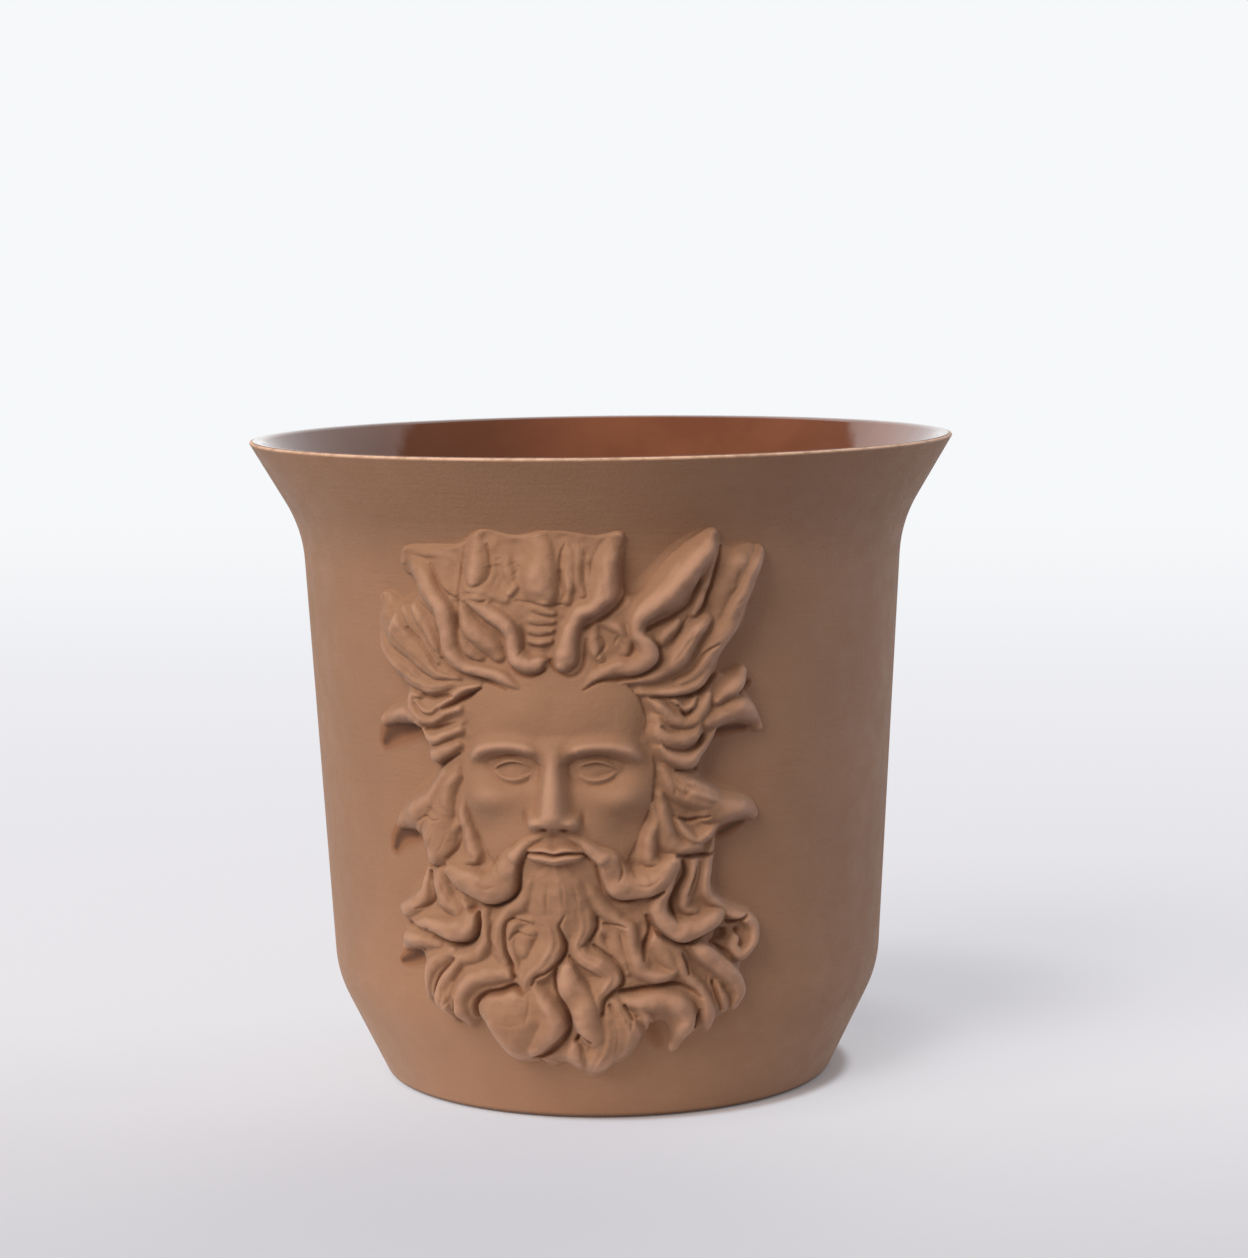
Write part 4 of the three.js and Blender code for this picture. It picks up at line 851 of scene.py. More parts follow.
def sum_of_forms(forms):
    total = np.zeros(across.shape)
    for rise, aside, level, width, tall in forms.values():
        total += rise * mound(side - aside, height - level, width, tall)
    return total


def face_dome():
    """The face without its features: a domed oval."""
    # Height above the table, half width and depth
    stations = [
        (27.5, 4.0, 3.4), (30.0, 6.8, 3.9), (33.0, 9.2, 4.4), (37.0, 11.0, 4.8), (41.0, 12.2, 5.0),
        (45.0, 12.7, 5.0), (50.0, 12.5, 4.8), (54.0, 11.6, 4.4), (57.5, 9.4, 3.7), (60.0, 6.0, 3.0),
    ]
    levels, half_widths, depths = zip(*stations)
    flatness = 3.0
    edge_softness = 0.35
    half_width = np.interp(height, levels, half_widths)
    depth = np.interp(height, levels, depths)
    dome = depth * np.sqrt(1.0 - np.clip(side / half_width, 0.0, 1.0) ** flatness)
    outside = (height < levels[0]) | (height > levels[-1]) | (side >= half_width)
    return softened(np.where(outside, bare_wall, dome), edge_softness)


def eye_field(surface):
    """The face with its eyes let in: a ball in a hollow, with two lids round the opening."""
    socket_depth = 2.1
    ball_radius = 2.7
    ball_top = 4.0
    upper_bow = 1.05
    lower_bow = 0.75
    lid_height = 0.95
    gaze_height = 0.1
    iris_radius = 0.85
    iris_line = 0.17
    iris_depth = 0.3
    pupil_radius = 0.36
    pupil_depth = 0.7
    fold_depth = 0.42
    fold_line = 0.25
    off_across = side - eye_width
    off_height = height - eye_line
    socket = surface - socket_depth * mound(off_across, off_height - 0.25, 3.2, 1.8)
    inside_ball = np.clip(ball_radius**2 - off_across**2 - off_height**2, 0.0, None)
    ball = ball_top - ball_radius + np.sqrt(inside_ball)
    bow = 1.0 - (off_across / (eye_width / 2)) ** 2
    past_opening = np.maximum(off_height - upper_bow * bow, -lower_bow * bow - off_height)
    lid = lid_height * eased(past_opening, -0.08, 0.08)
    from_middle = np.hypot(off_across, off_height - gaze_height)
    iris_ring = iris_depth * np.exp(-(((from_middle - iris_radius) / iris_line) ** 2))
    pupil = pupil_depth * mound(off_across, off_height - gaze_height, pupil_radius, pupil_radius)
    in_opening = 1.0 - eased(past_opening, -0.2, 0.0)
    eye = joined(socket, ball + lid - (iris_ring + pupil) * in_opening, 0.15)
    fold_height = 0.75 + 0.95 * np.clip(bow, 0.0, 1.0)
    fold = fold_depth * np.exp(-(((off_height - fold_height) / fold_line) ** 2))
    fold *= mound(off_across, 0.0, 2.4, 1.0)
    return np.where(inside_ball > 0.0, eye, socket) - fold * (off_height > 0.0)


def nose_field():
    """The ridge of the nose, with its wings, nostrils and the groove under it."""
    # Height above the table, rise of the ridge and its half width
    stations = [
        (37.7, 0.0, 1.7), (38.5, 1.0, 1.75), (39.2, 2.7, 1.7), (40.1, 3.2, 1.6), (42.0, 2.7, 1.35),
        (44.0, 2.1, 1.25), (46.0, 1.6, 1.3), (47.6, 1.0, 1.6), (49.5, 0.0, 2.2),
    ]
    levels, rises, half_widths = zip(*stations)
    flatness = 2.6
    softness = 0.25
    rise = softened(np.interp(height, levels, rises), softness)
    half_width = np.interp(height, levels, half_widths)
    return rise * np.exp(-((side / half_width) ** flatness)) + sum_of_forms(nose_forms)


def mouth_field():
    """Two lips that meet in a bowed line, and the hollow under them."""
    half_mouth = 3.2
    upper_rise = 1.05
    lower_rise = 1.35
    lip_softness = 0.08
    meeting = mouth_line - 0.12 * mound(across, 0.0, 0.7, 1.0) + 0.1 * mound(side - 1.4, 0.0, 0.9, 1.0)
    off = height - meeting
    fullness = np.sqrt(np.clip(1.0 - (side / half_mouth) ** 2, 0.0, 1.0))
    upper_height = 0.25 + fullness * (0.85 - 0.22 * mound(across, 0.0, 0.55, 1.0))
    lower_height = 0.3 + 1.2 * fullness
    upper = upper_rise * fullness * np.sin(math.pi * np.clip(off / upper_height, 0.0, 1.0) ** 0.75)
    lower = lower_rise * fullness**1.2 * np.sin(math.pi * np.clip(-off / lower_height, 0.0, 1.0) ** 0.8)
    meeting_line = -0.35 * mound(0.0, off, 1.0, 0.16) * eased(half_mouth + 0.2 - side, 0.0, 0.8)
    under_lip = -0.45 * mound(across, off + 2.1, 2.2, 0.65)
    return softened(upper + lower, lip_softness) + meeting_line + under_lip


def face_field(dome):
    brow_rise = 1.25
    brow_arc = brow_line + 0.8 - 0.07 * (side - eye_width - 0.4) ** 2
    brow_reach = eased(side, 0.8, 2.8) * (1.0 - eased(side, 8.0, 10.4))
    brow = brow_rise * np.exp(-((height - brow_arc) ** 2)) * brow_reach
    return eye_field(dome + brow + sum_of_forms(face_forms)) + nose_field() + mouth_field()


# Whole relief


def layered_locks():
    """How far the locks stand above the clay under them, and which lock is the highest."""
    far_below = -9.0
    top = gap_floor * (1.0 - crown_gap_filled * eased(height, *crown_gap_heights))
    highest = np.full(across.shape, far_below)
    owner = np.full(across.shape, -1)
    for number, (_, kind, lift, stations) in enumerate(locks.values()):
        window, rise = lock_field(stations, kind, lift)
        top[window] = joined(top[window], rise, lock_blend)
        owner[window] = np.where(rise > highest[window], number, owner[window])
        highest[window] = np.maximum(rise, highest[window])
    return top, highest, owner


def tool_marks():
    """Short creases scattered over the worked patches, as routes."""
    chance = np.random.default_rng(tool_seed)
    marks = []
    for at_across, at_height, spread_across, spread_height, heading, count in tool_patches:
        for _ in range(count):
            middle_across = at_across + spread_across * chance.uniform(-1.0, 1.0)
            middle_height = at_height + spread_height * chance.uniform(-1.0, 1.0)
            turn = math.radians(heading + chance.normal(0.0, tool_heading_spread))
            half_length = chance.uniform(*tool_half_lengths)
            step_across = half_length * math.cos(turn)
            step_height = half_length * math.sin(turn)
            marks.append([
                (middle_across - step_across, middle_height - step_height, tool_end_half_width),
                (middle_across, middle_height, chance.uniform(*tool_half_widths)),
                (middle_across + step_across, middle_height + step_height, tool_end_half_width),
            ])
    return marks


def tooled_depth():
    """How deep the creases and pits cut at each point, gentler at the crown and on the left side."""
    depth = np.zeros(across.shape)
    kinds = ((1.0, creases), (faint_crease_share, faint_creases), (tool_mark_share, tool_marks()))
    for share, routes in kinds:
        for stations in routes:
            window, cut = crease_field(stations)
            depth[window] = np.maximum(depth[window], share * cut)
    for at_across, at_height, half_width in pits:
        pit = mound(across - at_across, height - at_height, half_width, half_width)
        depth = np.maximum(depth, pit_depth_share * half_width * pit)
    at_crown = eased(height, *crown_heights)
    off_right = 1.0 - eased(across, *right_crown)
    at_left_side = eased(-across, *left_side) * eased(height, *above_beard) * (1.0 - at_crown)
    softening = at_crown * (crown_softening + crown_middle_softening * off_right)
    return depth * (1.0 - softening - left_side_softening * at_left_side)


def painted_shadow_fields():
    """Where the painted shadows under free tips lie, and the thin skin of clay that they are painted
    on.
    """
    inside = np.zeros(across.shape)
    skin_under_shadow = np.full(across.shape, bare_wall)
    for darkness, stations in painted_shadows:
        window, share, _, _, _ = along_route(stations, crease_reach)
        inside[window] = np.maximum(inside[window], darkness * (1.0 - eased(share, *shadow_fades)))
        skin = shadow_skin_height + (bare_wall - shadow_skin_height) * eased(share, *skin_fades)
        skin_under_shadow[window] = np.maximum(skin_under_shadow[window], skin)
    return inside, skin_under_shadow


def crown_top():
    """Height of the crown's upper edge, from the left over the plume to the right forelock's horn."""
    stations = [
        (-20.5, 66.0), (-19.6, 68.6), (-19.2, 70.8), (-18.3, 71.5), (-15.0, 71.7), (-12.5, 71.5),
        (-11.0, 71.2), (-10.2, 71.4), (-9.7, 72.8), (-8.6, 73.8), (-7.2, 73.7), (-5.8, 72.9),
        (-4.2, 72.8), (-3.2, 73.2), (-1.8, 73.7), (-0.4, 74.1), (1.0, 73.8), (2.4, 73.6),
        (3.6, 73.0), (4.6, 72.3), (5.6, 72.1), (6.6, 72.9), (7.4, 73.9), (8.2, 74.8), (9.0, 77.0),
    ]
    places, levels = zip(*stations)
    return np.interp(hand_across, places, levels)


def covered_region(dome, highest, below_edge):
    """Where the mask covers the wall, from 0 to 1, with its narrow gaps closed up."""
    gap_reach = 0.9
    grows = (0.15, 0.35)
    shrinks = (0.62, 0.85)
    lowest_lock = -0.1
    middle_height = 42.0
    half_across = 14.5
    half_tall = 25.0
    locks_there = (highest > lowest_lock) & (below_edge > 0.0)
    in_middle = (across / half_across) ** 2 + ((height - middle_height) / half_tall) ** 2 < 1.0
    wanted = np.maximum.reduce([locks_there, dome > 0.0, in_middle]).astype(float)
    grown = eased(softened(wanted, gap_reach), *grows)
    return eased(softened(grown, gap_reach), *shrinks)


def hair_mass(covered):
    """The clay that the locks lie on, thinning out towards the outline of the mask."""
    rounding_reach = 1.5
    outline_reach = 0.4
    level = eased(softened(covered, rounding_reach), 0.4, 1.0)
    outline = eased(softened(covered, outline_reach), 0.25, 0.65)
    sideways = eased(side, *hair_thins_sideways)
    thickness = hair_thickness + (hair_thickness_at_edge - hair_thickness) * sideways
    share = outline_thickness_share + (1.0 - outline_thickness_share) * level
    return thickness * share * outline + bare_wall * (1.0 - outline)


def skirt_round(hair, covered):
    """The clay smoothed down onto the wall round the mask, most of it towards the left."""
    columns_left = round(skirt_left / grid_step)
    pressed = softened(np.roll(np.maximum(hair, 0.0) * covered, -columns_left, axis=1), skirt_reach)
    beside_mask = 1.0 - eased(covered, 0.4, 0.95)
    return (skirt_share * pressed + skirt_drop) * beside_mask + bare_wall * covered


def hair_field(dome, mass, top, covered, thinning, tooled):
    """The hair: locks on their clay, tooled and dented by hand, with the skirt round it."""
    face_inset = 0.3
    under_blend = 0.3
    under = joined(mass, dome - face_inset, under_blend)
    top = np.where(top > 0.0, top * (0.5 + 0.5 * thinning), top)
    hair = under + top * eased(covered, 0.0, 0.6) - tooled
    dents = hand_dent * uneven(hand_dent_reach, hand_dent_seed)
    dents += fine_dent * uneven(fine_dent_reach, fine_dent_seed)
    hair += dents * eased(covered, 0.2, 0.9)
    return np.maximum(hair, skirt_round(hair, covered))


def whole_relief():
    """The relief, the highest lock, where the face shows, the painted shadows under free tips and the
    tooled depth.
    """
    shadow_hidden = (0.35, 1.0)
    face_blend = 0.1
    least_face = 0.2
    dome = face_dome()
    top, highest, owner = layered_locks()
    in_painted_shadow, skin_under_shadow = painted_shadow_fields()
    below_edge = crown_top() - hand_height
    covered = covered_region(dome, highest, below_edge)
    thinning = crown_edge_share + (1.0 - crown_edge_share) * eased(below_edge, 0.0, crown_edge_reach)
    mass = hair_mass(covered)
    mass = np.where(mass > 0.0, mass * thinning, mass)
    tooled = tooled_depth()
    hair = hair_field(dome, mass, top, covered, thinning, tooled)
    # The painted shadows under free tips lie on a thin skin of clay, hidden where the hair stands high
    in_painted_shadow *= 1.0 - eased(hair, *shadow_hidden)
    hair = np.maximum(hair, skin_under_shadow)
    face = face_field(dome)
    on_face = (face > hair + face_crease_share * tooled) & (dome > np.maximum(mass, least_face))
    face = face - face_crease_share * tooled
    relief = np.where(on_face, joined(hair, face, face_blend), hair)
    relief = np.maximum(softened(relief, cast_softness), bare_wall)
    return relief, owner, on_face, in_painted_shadow, tooled * covered


relief, lock_owner, on_face, in_painted_shadow, tooled = whole_relief()

# How deep each point lies in a hollow, and how far it stands out as a crest: the painted shade in
# creases, the painted shadows under free tips and the painted highlight on crests
sunk_reach = 0.4
sunk_full = 0.45
crest_reach = 0.8
crest_full = 0.6
tooled_full = 0.85
hair_sunk_share = 0.4
face_sunk_share = 1.3
painted_shadow_share = 1.8
seen_relief = np.maximum(relief, 0.0)
sunk = np.clip((softened(seen_relief, sunk_reach) - seen_relief) / sunk_full, 0.0, 1.0)
crest = np.clip((seen_relief - softened(seen_relief, crest_reach)) / crest_full, 0.0, 1.0)
hair_crease_shade = np.maximum(hair_sunk_share * sunk, np.clip(tooled / tooled_full, 0.0, 1.0))
hollow = np.where(on_face, face_sunk_share * sunk, hair_crease_shade)
hollow = np.maximum(hollow, painted_shadow_share * in_painted_shadow)


def group_map():
    """The names of the mask's pieces, and the number of the one that each point belongs to."""
    names = ["face", "crown_left", "crown_right", "side_left", "side_right", "moustache",
             "beard_left", "beard_right"]
    crown_from = 54.0
    beard_to = 25.0
    handed = np.where(across < 0.0, "_left", "_right")
    by_lock = np.array([group for group, *_ in locks.values()] + [""])[lock_owner]
    by_place = np.where(height > crown_from, "crown", np.where(height < beard_to, "beard", "side"))
    word = np.where(by_lock == "", by_place, by_lock)
    word = np.where(np.isin(word, ["crown", "beard", "side"]), np.char.add(word, handed), word)
    word = np.where(on_face, "face", word)
    shares = [softened((word == name).astype(float), border_softness) for name in names]
    return names, np.argmax(shares, axis=0)


def relief_mesh(name, cells):
    """A closed piece of the relief over the marked cells of the grid, sunk into the wall."""
    rows, columns = np.nonzero(cells)
    low_row, high_row = rows.min(), rows.max() + 1
    low_column, high_column = columns.min(), columns.max() + 1
    work = bmesh.new()
    bmesh.ops.create_grid(
        work,
        x_segments=int(high_column - low_column),
        y_segments=int(high_row - low_row),
        size=0.5,
    )
    spread = Vector((high_column - low_column, high_row - low_row, 1.0))
    corner = Vector((low_column, low_row, 0.0))
    bmesh.ops.translate(work, vec=(0.5, 0.5, 0.0), verts=work.verts[:])
    bmesh.ops.scale(work, vec=spread, verts=work.verts[:])
    bmesh.ops.translate(work, vec=corner, verts=work.verts[:])
    unwanted = []
    for face in work.faces:
        middle = face.calc_center_median()
        if not cells[int(middle.y), int(middle.x)]:
            unwanted.append(face)
    bmesh.ops.delete(work, geom=unwanted, context="FACES")
    raised = bmesh.ops.extrude_face_region(work, geom=work.faces[:])
    front = [item for item in raised["geom"] if isinstance(item, bmesh.types.BMVert)]
    bmesh.ops.translate(work, vec=(0.0, 0.0, 1.0), verts=front)
    mesh = finished_mesh(name, work, border_angle)
    lay_on_wall(mesh)
    return mesh


def lay_on_wall(mesh):
    """Moves a flat piece, in grid steps, onto the wall at the height of the relief."""
    flat = np.empty(len(mesh.vertices) * 3)
    mesh.vertices.foreach_get("co", flat)
    flat = flat.reshape(-1, 3)
    column = np.rint(flat[:, 0]).astype(int)
    row = np.rint(flat[:, 1]).astype(int)
    is_front = flat[:, 2] > 0.5
    rise = np.where(is_front, relief[row, column], -sunk_back)
    angle = across_line[column] / mask_radius
    radius = outer_radius(height_line[row]) + rise
    placed = np.column_stack([radius * np.sin(angle), -radius * np.cos(angle), height_line[row]]) * MM
    mesh.vertices.foreach_set("co", placed.ravel())
    # The hollow and crest shares, for the mask clay's painted shade and painted highlight
    for label, field in (("hollow", hollow), ("crest", crest)):
        layer = mesh.attributes.new(label, "FLOAT", "POINT")
        layer.data.foreach_set("value", np.where(is_front, field[row, column], 0.0))
    mesh.update()


# Materials


class Nodes:
    """Short calls for building a node material."""

    def __init__(self, name):
        self.material = bpy.data.materials.new(name)
        self.material.use_nodes = True
        self.tree = self.material.node_tree
        self.shader = self.tree.nodes["Principled BSDF"]
        self.place = self.tree.nodes.new("ShaderNodeTexCoord").outputs["Object"]

    def link(self, source, target):
        self.tree.links.new(source, target)

    def scaled_place(self, scale):
        node = self.tree.nodes.new("ShaderNodeMapping")
        node.inputs["Scale"].default_value = scale
        self.link(self.place, node.inputs["Vector"])
        return node.outputs["Vector"]

    def noise(self, size, detail=3.0, roughness=0.55, stretch=(1.0, 1.0, 1.0)):
        """Noise with features of about that size in millimetres."""
        node = self.tree.nodes.new("ShaderNodeTexNoise")
        node.inputs["Scale"].default_value = 1.0 / (size * MM)
        node.inputs["Detail"].default_value = detail
        node.inputs["Roughness"].default_value = roughness
        self.link(self.scaled_place(stretch), node.inputs["Vector"])
        return node.outputs["Fac"]

    def attribute(self, name):
        node = self.tree.nodes.new("ShaderNodeAttribute")
        node.attribute_name = name
        return node.outputs["Fac"]

    def distance_from(self, x, y, z=0.0):
        """Distance from a point given in millimetres."""
        node = self.tree.nodes.new("ShaderNodeVectorMath")
        node.operation = "DISTANCE"
        node.inputs[1].default_value = (x * MM, y * MM, z * MM)
        self.link(self.place, node.inputs[0])
        return node.outputs["Value"]

    def along(self, axis):
        node = self.tree.nodes.new("ShaderNodeSeparateXYZ")
        self.link(self.place, node.inputs["Vector"])
        return node.outputs[axis]

    def fitted(self, source, low, high, out_low=0.0, out_high=1.0):
        node = self.tree.nodes.new("ShaderNodeMapRange")
        node.interpolation_type = "SMOOTHSTEP"
        node.inputs["From Min"].default_value = low
        node.inputs["From Max"].default_value = high
        node.inputs["To Min"].default_value = out_low
        node.inputs["To Max"].default_value = out_high
        self.link(source, node.inputs["Value"])
        return node.outputs["Result"]

    def near(self, source, low, high, out_low=0.0, out_high=1.0):
        """Like `fitted`, for a length that runs from `low` to `high` millimetres."""
        return self.fitted(source, low * MM, high * MM, out_low, out_high)

    def math(self, operation, first, second):
        node = self.tree.nodes.new("ShaderNodeMath")
        node.operation = operation
        self.link(first, node.inputs[0])
        self.link(second, node.inputs[1])
        return node.outputs["Value"]

    def mixed(self, share, first, second):
        node = self.tree.nodes.new("ShaderNodeMix")
        node.data_type = "RGBA"
        self.link(share, node.inputs["Factor"])
        for source, target in ((first, node.inputs["A"]), (second, node.inputs["B"])):
            if isinstance(source, tuple):
                target.default_value = source
            else:
                self.link(source, target)
        return node.outputs["Result"]

    def bumped(self, strengths):
        """Adds (height field, depth in millimetres) pairs one after the other."""
        before = None
        for source, depth in strengths:
            node = self.tree.nodes.new("ShaderNodeBump")
            node.inputs["Distance"].default_value = depth * MM
            self.link(source, node.inputs["Height"])
            if before is not None:
                self.link(before, node.inputs["Normal"])
            before = node.outputs["Normal"]
        self.link(before, self.shader.inputs["Normal"])


def plain(red, green, blue):
    """A colour given as display values from 0 to 255."""
    shares = [value / 255.0 for value in (red, green, blue)]
    return tuple((share / 1.055 + 0.055 / 1.055) ** 2.4 for share in shares) + (1.0,)


# Clay
clay_mid = plain(151, 113, 88)
clay_pale = plain(157, 118, 93)
clay_deep = plain(144, 107, 83)
# Painted shade in the mask's creases
clay_painted_crease_shade = plain(124, 70, 35)
# Painted shadow under free tips and on the foot's edge
clay_painted_shadow = plain(74, 46, 33)
# Painted highlight on the mask's crests
clay_painted_highlight = plain(178, 137, 115)
clay_streak = plain(138, 101, 78)
clay_pale_lip = plain(214, 176, 152)

# Glaze
glaze_deep = plain(109, 63, 42)
glaze_pale = plain(120, 71, 49)
# Painted shade for the back of the mouth
glaze_painted_shade = plain(78, 43, 27)

# Floor and backdrop
backdrop_white = plain(246, 248, 250)
room_front = plain(252, 243, 231)
paper_fibre = plain(228, 227, 233)
paper_pale = plain(230, 229, 235)
# Painted shade in front of the cup
paper_painted_shade = plain(203, 201, 208)
# Painted contact shadow round the foot
paper_painted_contact_shadow = plain(200, 190, 190)
bounce_lit = plain(248, 244, 243)
bounce_dim = plain(104, 106, 117)
bounce_right = plain(226, 232, 248)
# Painted shade in the floor's glow, in front of the cup
floor_front_shade = plain(196, 195, 204)
floor_mid = plain(232, 231, 236)
# Painted shadow in the floor's glow, behind the cup on the right
floor_painted_shadow = plain(215, 214, 220)


def clay_colour(nodes):
    """Brown clay with broad clouds, small flecks and fine grain."""
    clouds = nodes.fitted(nodes.noise(22.0, 4.0), 0.35, 0.65)
    colour = nodes.mixed(clouds, clay_deep, clay_pale)
    even = nodes.fitted(nodes.noise(6.0, 3.0), 0.3, 0.7, 0.25, 0.75)
    colour = nodes.mixed(even, colour, clay_mid)
    grain = nodes.fitted(nodes.noise(0.45, 2.0), 0.58, 0.75, 0.0, 0.35)
    colour = nodes.mixed(grain, colour, clay_deep)
    streaks = nodes.noise(0.4, 4.0, 0.7, stretch=(0.12, 0.12, 1.0))
    return nodes.mixed(nodes.fitted(streaks, 0.5, 0.75, 0.0, 0.32), colour, clay_streak)


def wall_clay():
    """Clay turned on the wheel: pale at the lip, with a painted contact shadow in the line under the
    foot's edge.
    """
    nodes = Nodes("wall_clay")
    colour = clay_colour(nodes)
    level = nodes.along("Z")
    edge = nodes.near(level, cup_height - 0.5, cup_height - 0.15)
    lightened = nodes.math("MULTIPLY", edge, nodes.fitted(nodes.noise(1.6, 4.0), 0.3, 0.6, 0.4, 1.0))
    colour = nodes.mixed(lightened, colour, clay_pale_lip)
    # Painted contact shadow on the rounded edge of the foot
    foot_contact_shadow = nodes.near(level, 0.15, foot_edge, 0.8, 0.0)
    colour = nodes.mixed(foot_contact_shadow, colour, clay_painted_shadow)
    nodes.link(colour, nodes.shader.inputs["Base Color"])
    turning = nodes.noise(0.7, 4.0, 0.65, stretch=(0.05, 0.05, 1.0))
    grain = nodes.noise(0.4, 3.0, 0.6)
    nodes.bumped([(turning, 0.05), (grain, 0.06)])
    roughness = nodes.fitted(nodes.noise(3.0, 3.0), 0.3, 0.7, 0.62, 0.78)
    nodes.link(roughness, nodes.shader.inputs["Roughness"])
    nodes.shader.inputs["Specular IOR Level"].default_value = 0.3
    nodes.shader.inputs["Sheen Weight"].default_value = 0.1
    return nodes.material


def mask_clay():
    """The same clay worked by hand, with painted shade: brown in creases, nearly black in the painted
    shadows under free tips; and a painted highlight on crests.
    """
    nodes = Nodes("mask_clay")
    colour = clay_colour(nodes)
    # Painted shade in creases
    crease_shade_share = nodes.fitted(nodes.attribute("hollow"), 0.0, 1.0, 0.0, 0.5)
    colour = nodes.mixed(crease_shade_share, colour, clay_painted_crease_shade)
    # Painted shadow, nearly black, under free tips
    shaded = nodes.fitted(nodes.attribute("hollow"), 1.0, 2.0, 0.0, 0.9)
    colour = nodes.mixed(shaded, colour, clay_painted_shadow)
    # Painted highlight on crests
    lightened = nodes.fitted(nodes.attribute("crest"), 0.1, 0.9, 0.0, 0.7)
    colour = nodes.mixed(lightened, colour, clay_painted_highlight)
    nodes.link(colour, nodes.shader.inputs["Base Color"])
    nodes.bumped([(nodes.noise(1.4, 3.0), 0.09), (nodes.noise(0.4, 3.0, 0.6), 0.05)])
    roughness = nodes.fitted(nodes.noise(3.0, 3.0), 0.3, 0.7, 0.58, 0.74)
    nodes.link(roughness, nodes.shader.inputs["Roughness"])
    nodes.shader.inputs["Specular IOR Level"].default_value = 0.2
    nodes.shader.inputs["Sheen Weight"].default_value = 0.1
    return nodes.material


def lining_glaze():
    """Glossy reddish-brown glaze, with painted shade darkening it at the back left of the mouth."""
    nodes = Nodes("lining_glaze")
    clouds = nodes.fitted(nodes.noise(14.0, 4.0), 0.35, 0.65)
    colour = nodes.mixed(clouds, glaze_deep, glaze_pale)
    # Painted shade on the back left of the mouth
    back_shade = nodes.near(nodes.distance_from(-36.0, 30.0, cup_height), 12.0, 36.0, 0.6, 0.0)
    colour = nodes.mixed(back_shade, colour, glaze_painted_shade)
    nodes.link(colour, nodes.shader.inputs["Base Color"])
    nodes.bumped([(nodes.noise(7.0, 2.0), 0.05)])
    roughness = nodes.fitted(nodes.noise(5.0, 3.0), 0.3, 0.7, 0.06, 0.1)
    nodes.link(roughness, nodes.shader.inputs["Roughness"])
    nodes.shader.inputs["Specular IOR Level"].default_value = 0.75
    return nodes.material


def paper_colours(nodes, touching):
    """The floor's colour as it is seen, and the colour of the light that it throws onto the cup."""
    fibres = nodes.fitted(nodes.noise(2.0, 3.0), 0.3, 0.7)
    pale = nodes.mixed(fibres, paper_fibre, paper_pale)
    # Painted shade on the paper in front of the cup
    pale = nodes.mixed(nodes.near(nodes.distance_from(-5.0, -55.0), 5.0, 60.0), paper_painted_shade, pale)
    # Painted contact shadow round the foot
    pale = nodes.mixed(touching, paper_painted_contact_shadow, pale)
    from_lit = nodes.near(nodes.distance_from(-25.0, -20.0), 15.0, 100.0)
    bounce = nodes.mixed(from_lit, bounce_lit, bounce_dim)
    from_right = nodes.near(nodes.distance_from(200.0, -50.0), 60.0, 150.0)
    return pale, nodes.mixed(from_right, bounce_right, bounce)


def floor_tone(nodes, from_axis):
    """An even glowing tone, with painted shade in front of the cup and a painted shadow behind it on
    the right, that runs out to the backdrop's white.
    """
    behind = nodes.along("Y")
    # Painted shade in front of the cup
    tone = nodes.mixed(nodes.near(behind, -120.0, 30.0), floor_front_shade, floor_mid)
    tone = nodes.mixed(nodes.near(behind, 0.0, 900.0), tone, backdrop_white)
    from_shade = nodes.distance_from(35.0, 45.0)
    # Painted shadow behind the cup on the right
    tone = nodes.mixed(nodes.near(from_shade, 10.0, 42.0), floor_painted_shadow, tone)
    return nodes.mixed(nodes.near(from_axis, 400.0, 1400.0), tone, backdrop_white)


def floor_paper():
    """Pale floor whose glow, painted light, lightens its shadow to a light one near the cup, and that
    runs out to an even white far away.
    """
    nodes = Nodes("floor_paper")
    tree = nodes.tree
    nodes.shader.inputs["Roughness"].default_value = 0.9
    nodes.shader.inputs["Specular IOR Level"].default_value = 0.2
    rays = tree.nodes.new("ShaderNodeLightPath")
    seen = nodes.math("MAXIMUM", rays.outputs["Is Camera Ray"], rays.outputs["Is Glossy Ray"])
    seen = nodes.math("MAXIMUM", seen, rays.outputs["Is Transmission Ray"])
    from_contact = nodes.distance_from(1.5, 0.5)
    # Painted contact shadow: darker paper and less glow close to the foot
    touching = nodes.near(from_contact, foot_radius, foot_radius + 2.2, 0.15, 1.0)
    pale, bounce = paper_colours(nodes, touching)
    nodes.link(nodes.mixed(seen, bounce, pale), nodes.shader.inputs["Base Color"])
    from_axis = nodes.distance_from(0.0, 0.0)
    # Glow share, painted light that lightens the shadow, smaller near the foot
    close = nodes.near(nodes.distance_from(12.0, 16.0), 20.0, 38.0, 0.44, 0.7)
    close = nodes.math("MULTIPLY", close, touching)
    share = nodes.math("ADD", close, nodes.near(from_axis, 60.0, 400.0, 0.0, 0.32))
    glow = tree.nodes.new("ShaderNodeEmission")
    nodes.link(floor_tone(nodes, from_axis), glow.inputs["Color"])
    blend = tree.nodes.new("ShaderNodeMixShader")
    nodes.link(nodes.math("MULTIPLY", share, seen), blend.inputs["Fac"])
    nodes.link(nodes.shader.outputs["BSDF"], blend.inputs[1])
    nodes.link(glow.outputs["Emission"], blend.inputs[2])
    nodes.link(blend.outputs["Shader"], tree.nodes["Material Output"].inputs["Surface"])
    return nodes.material


# Cup

clay_of_wall = wall_clay()
clay_of_mask = mask_clay()

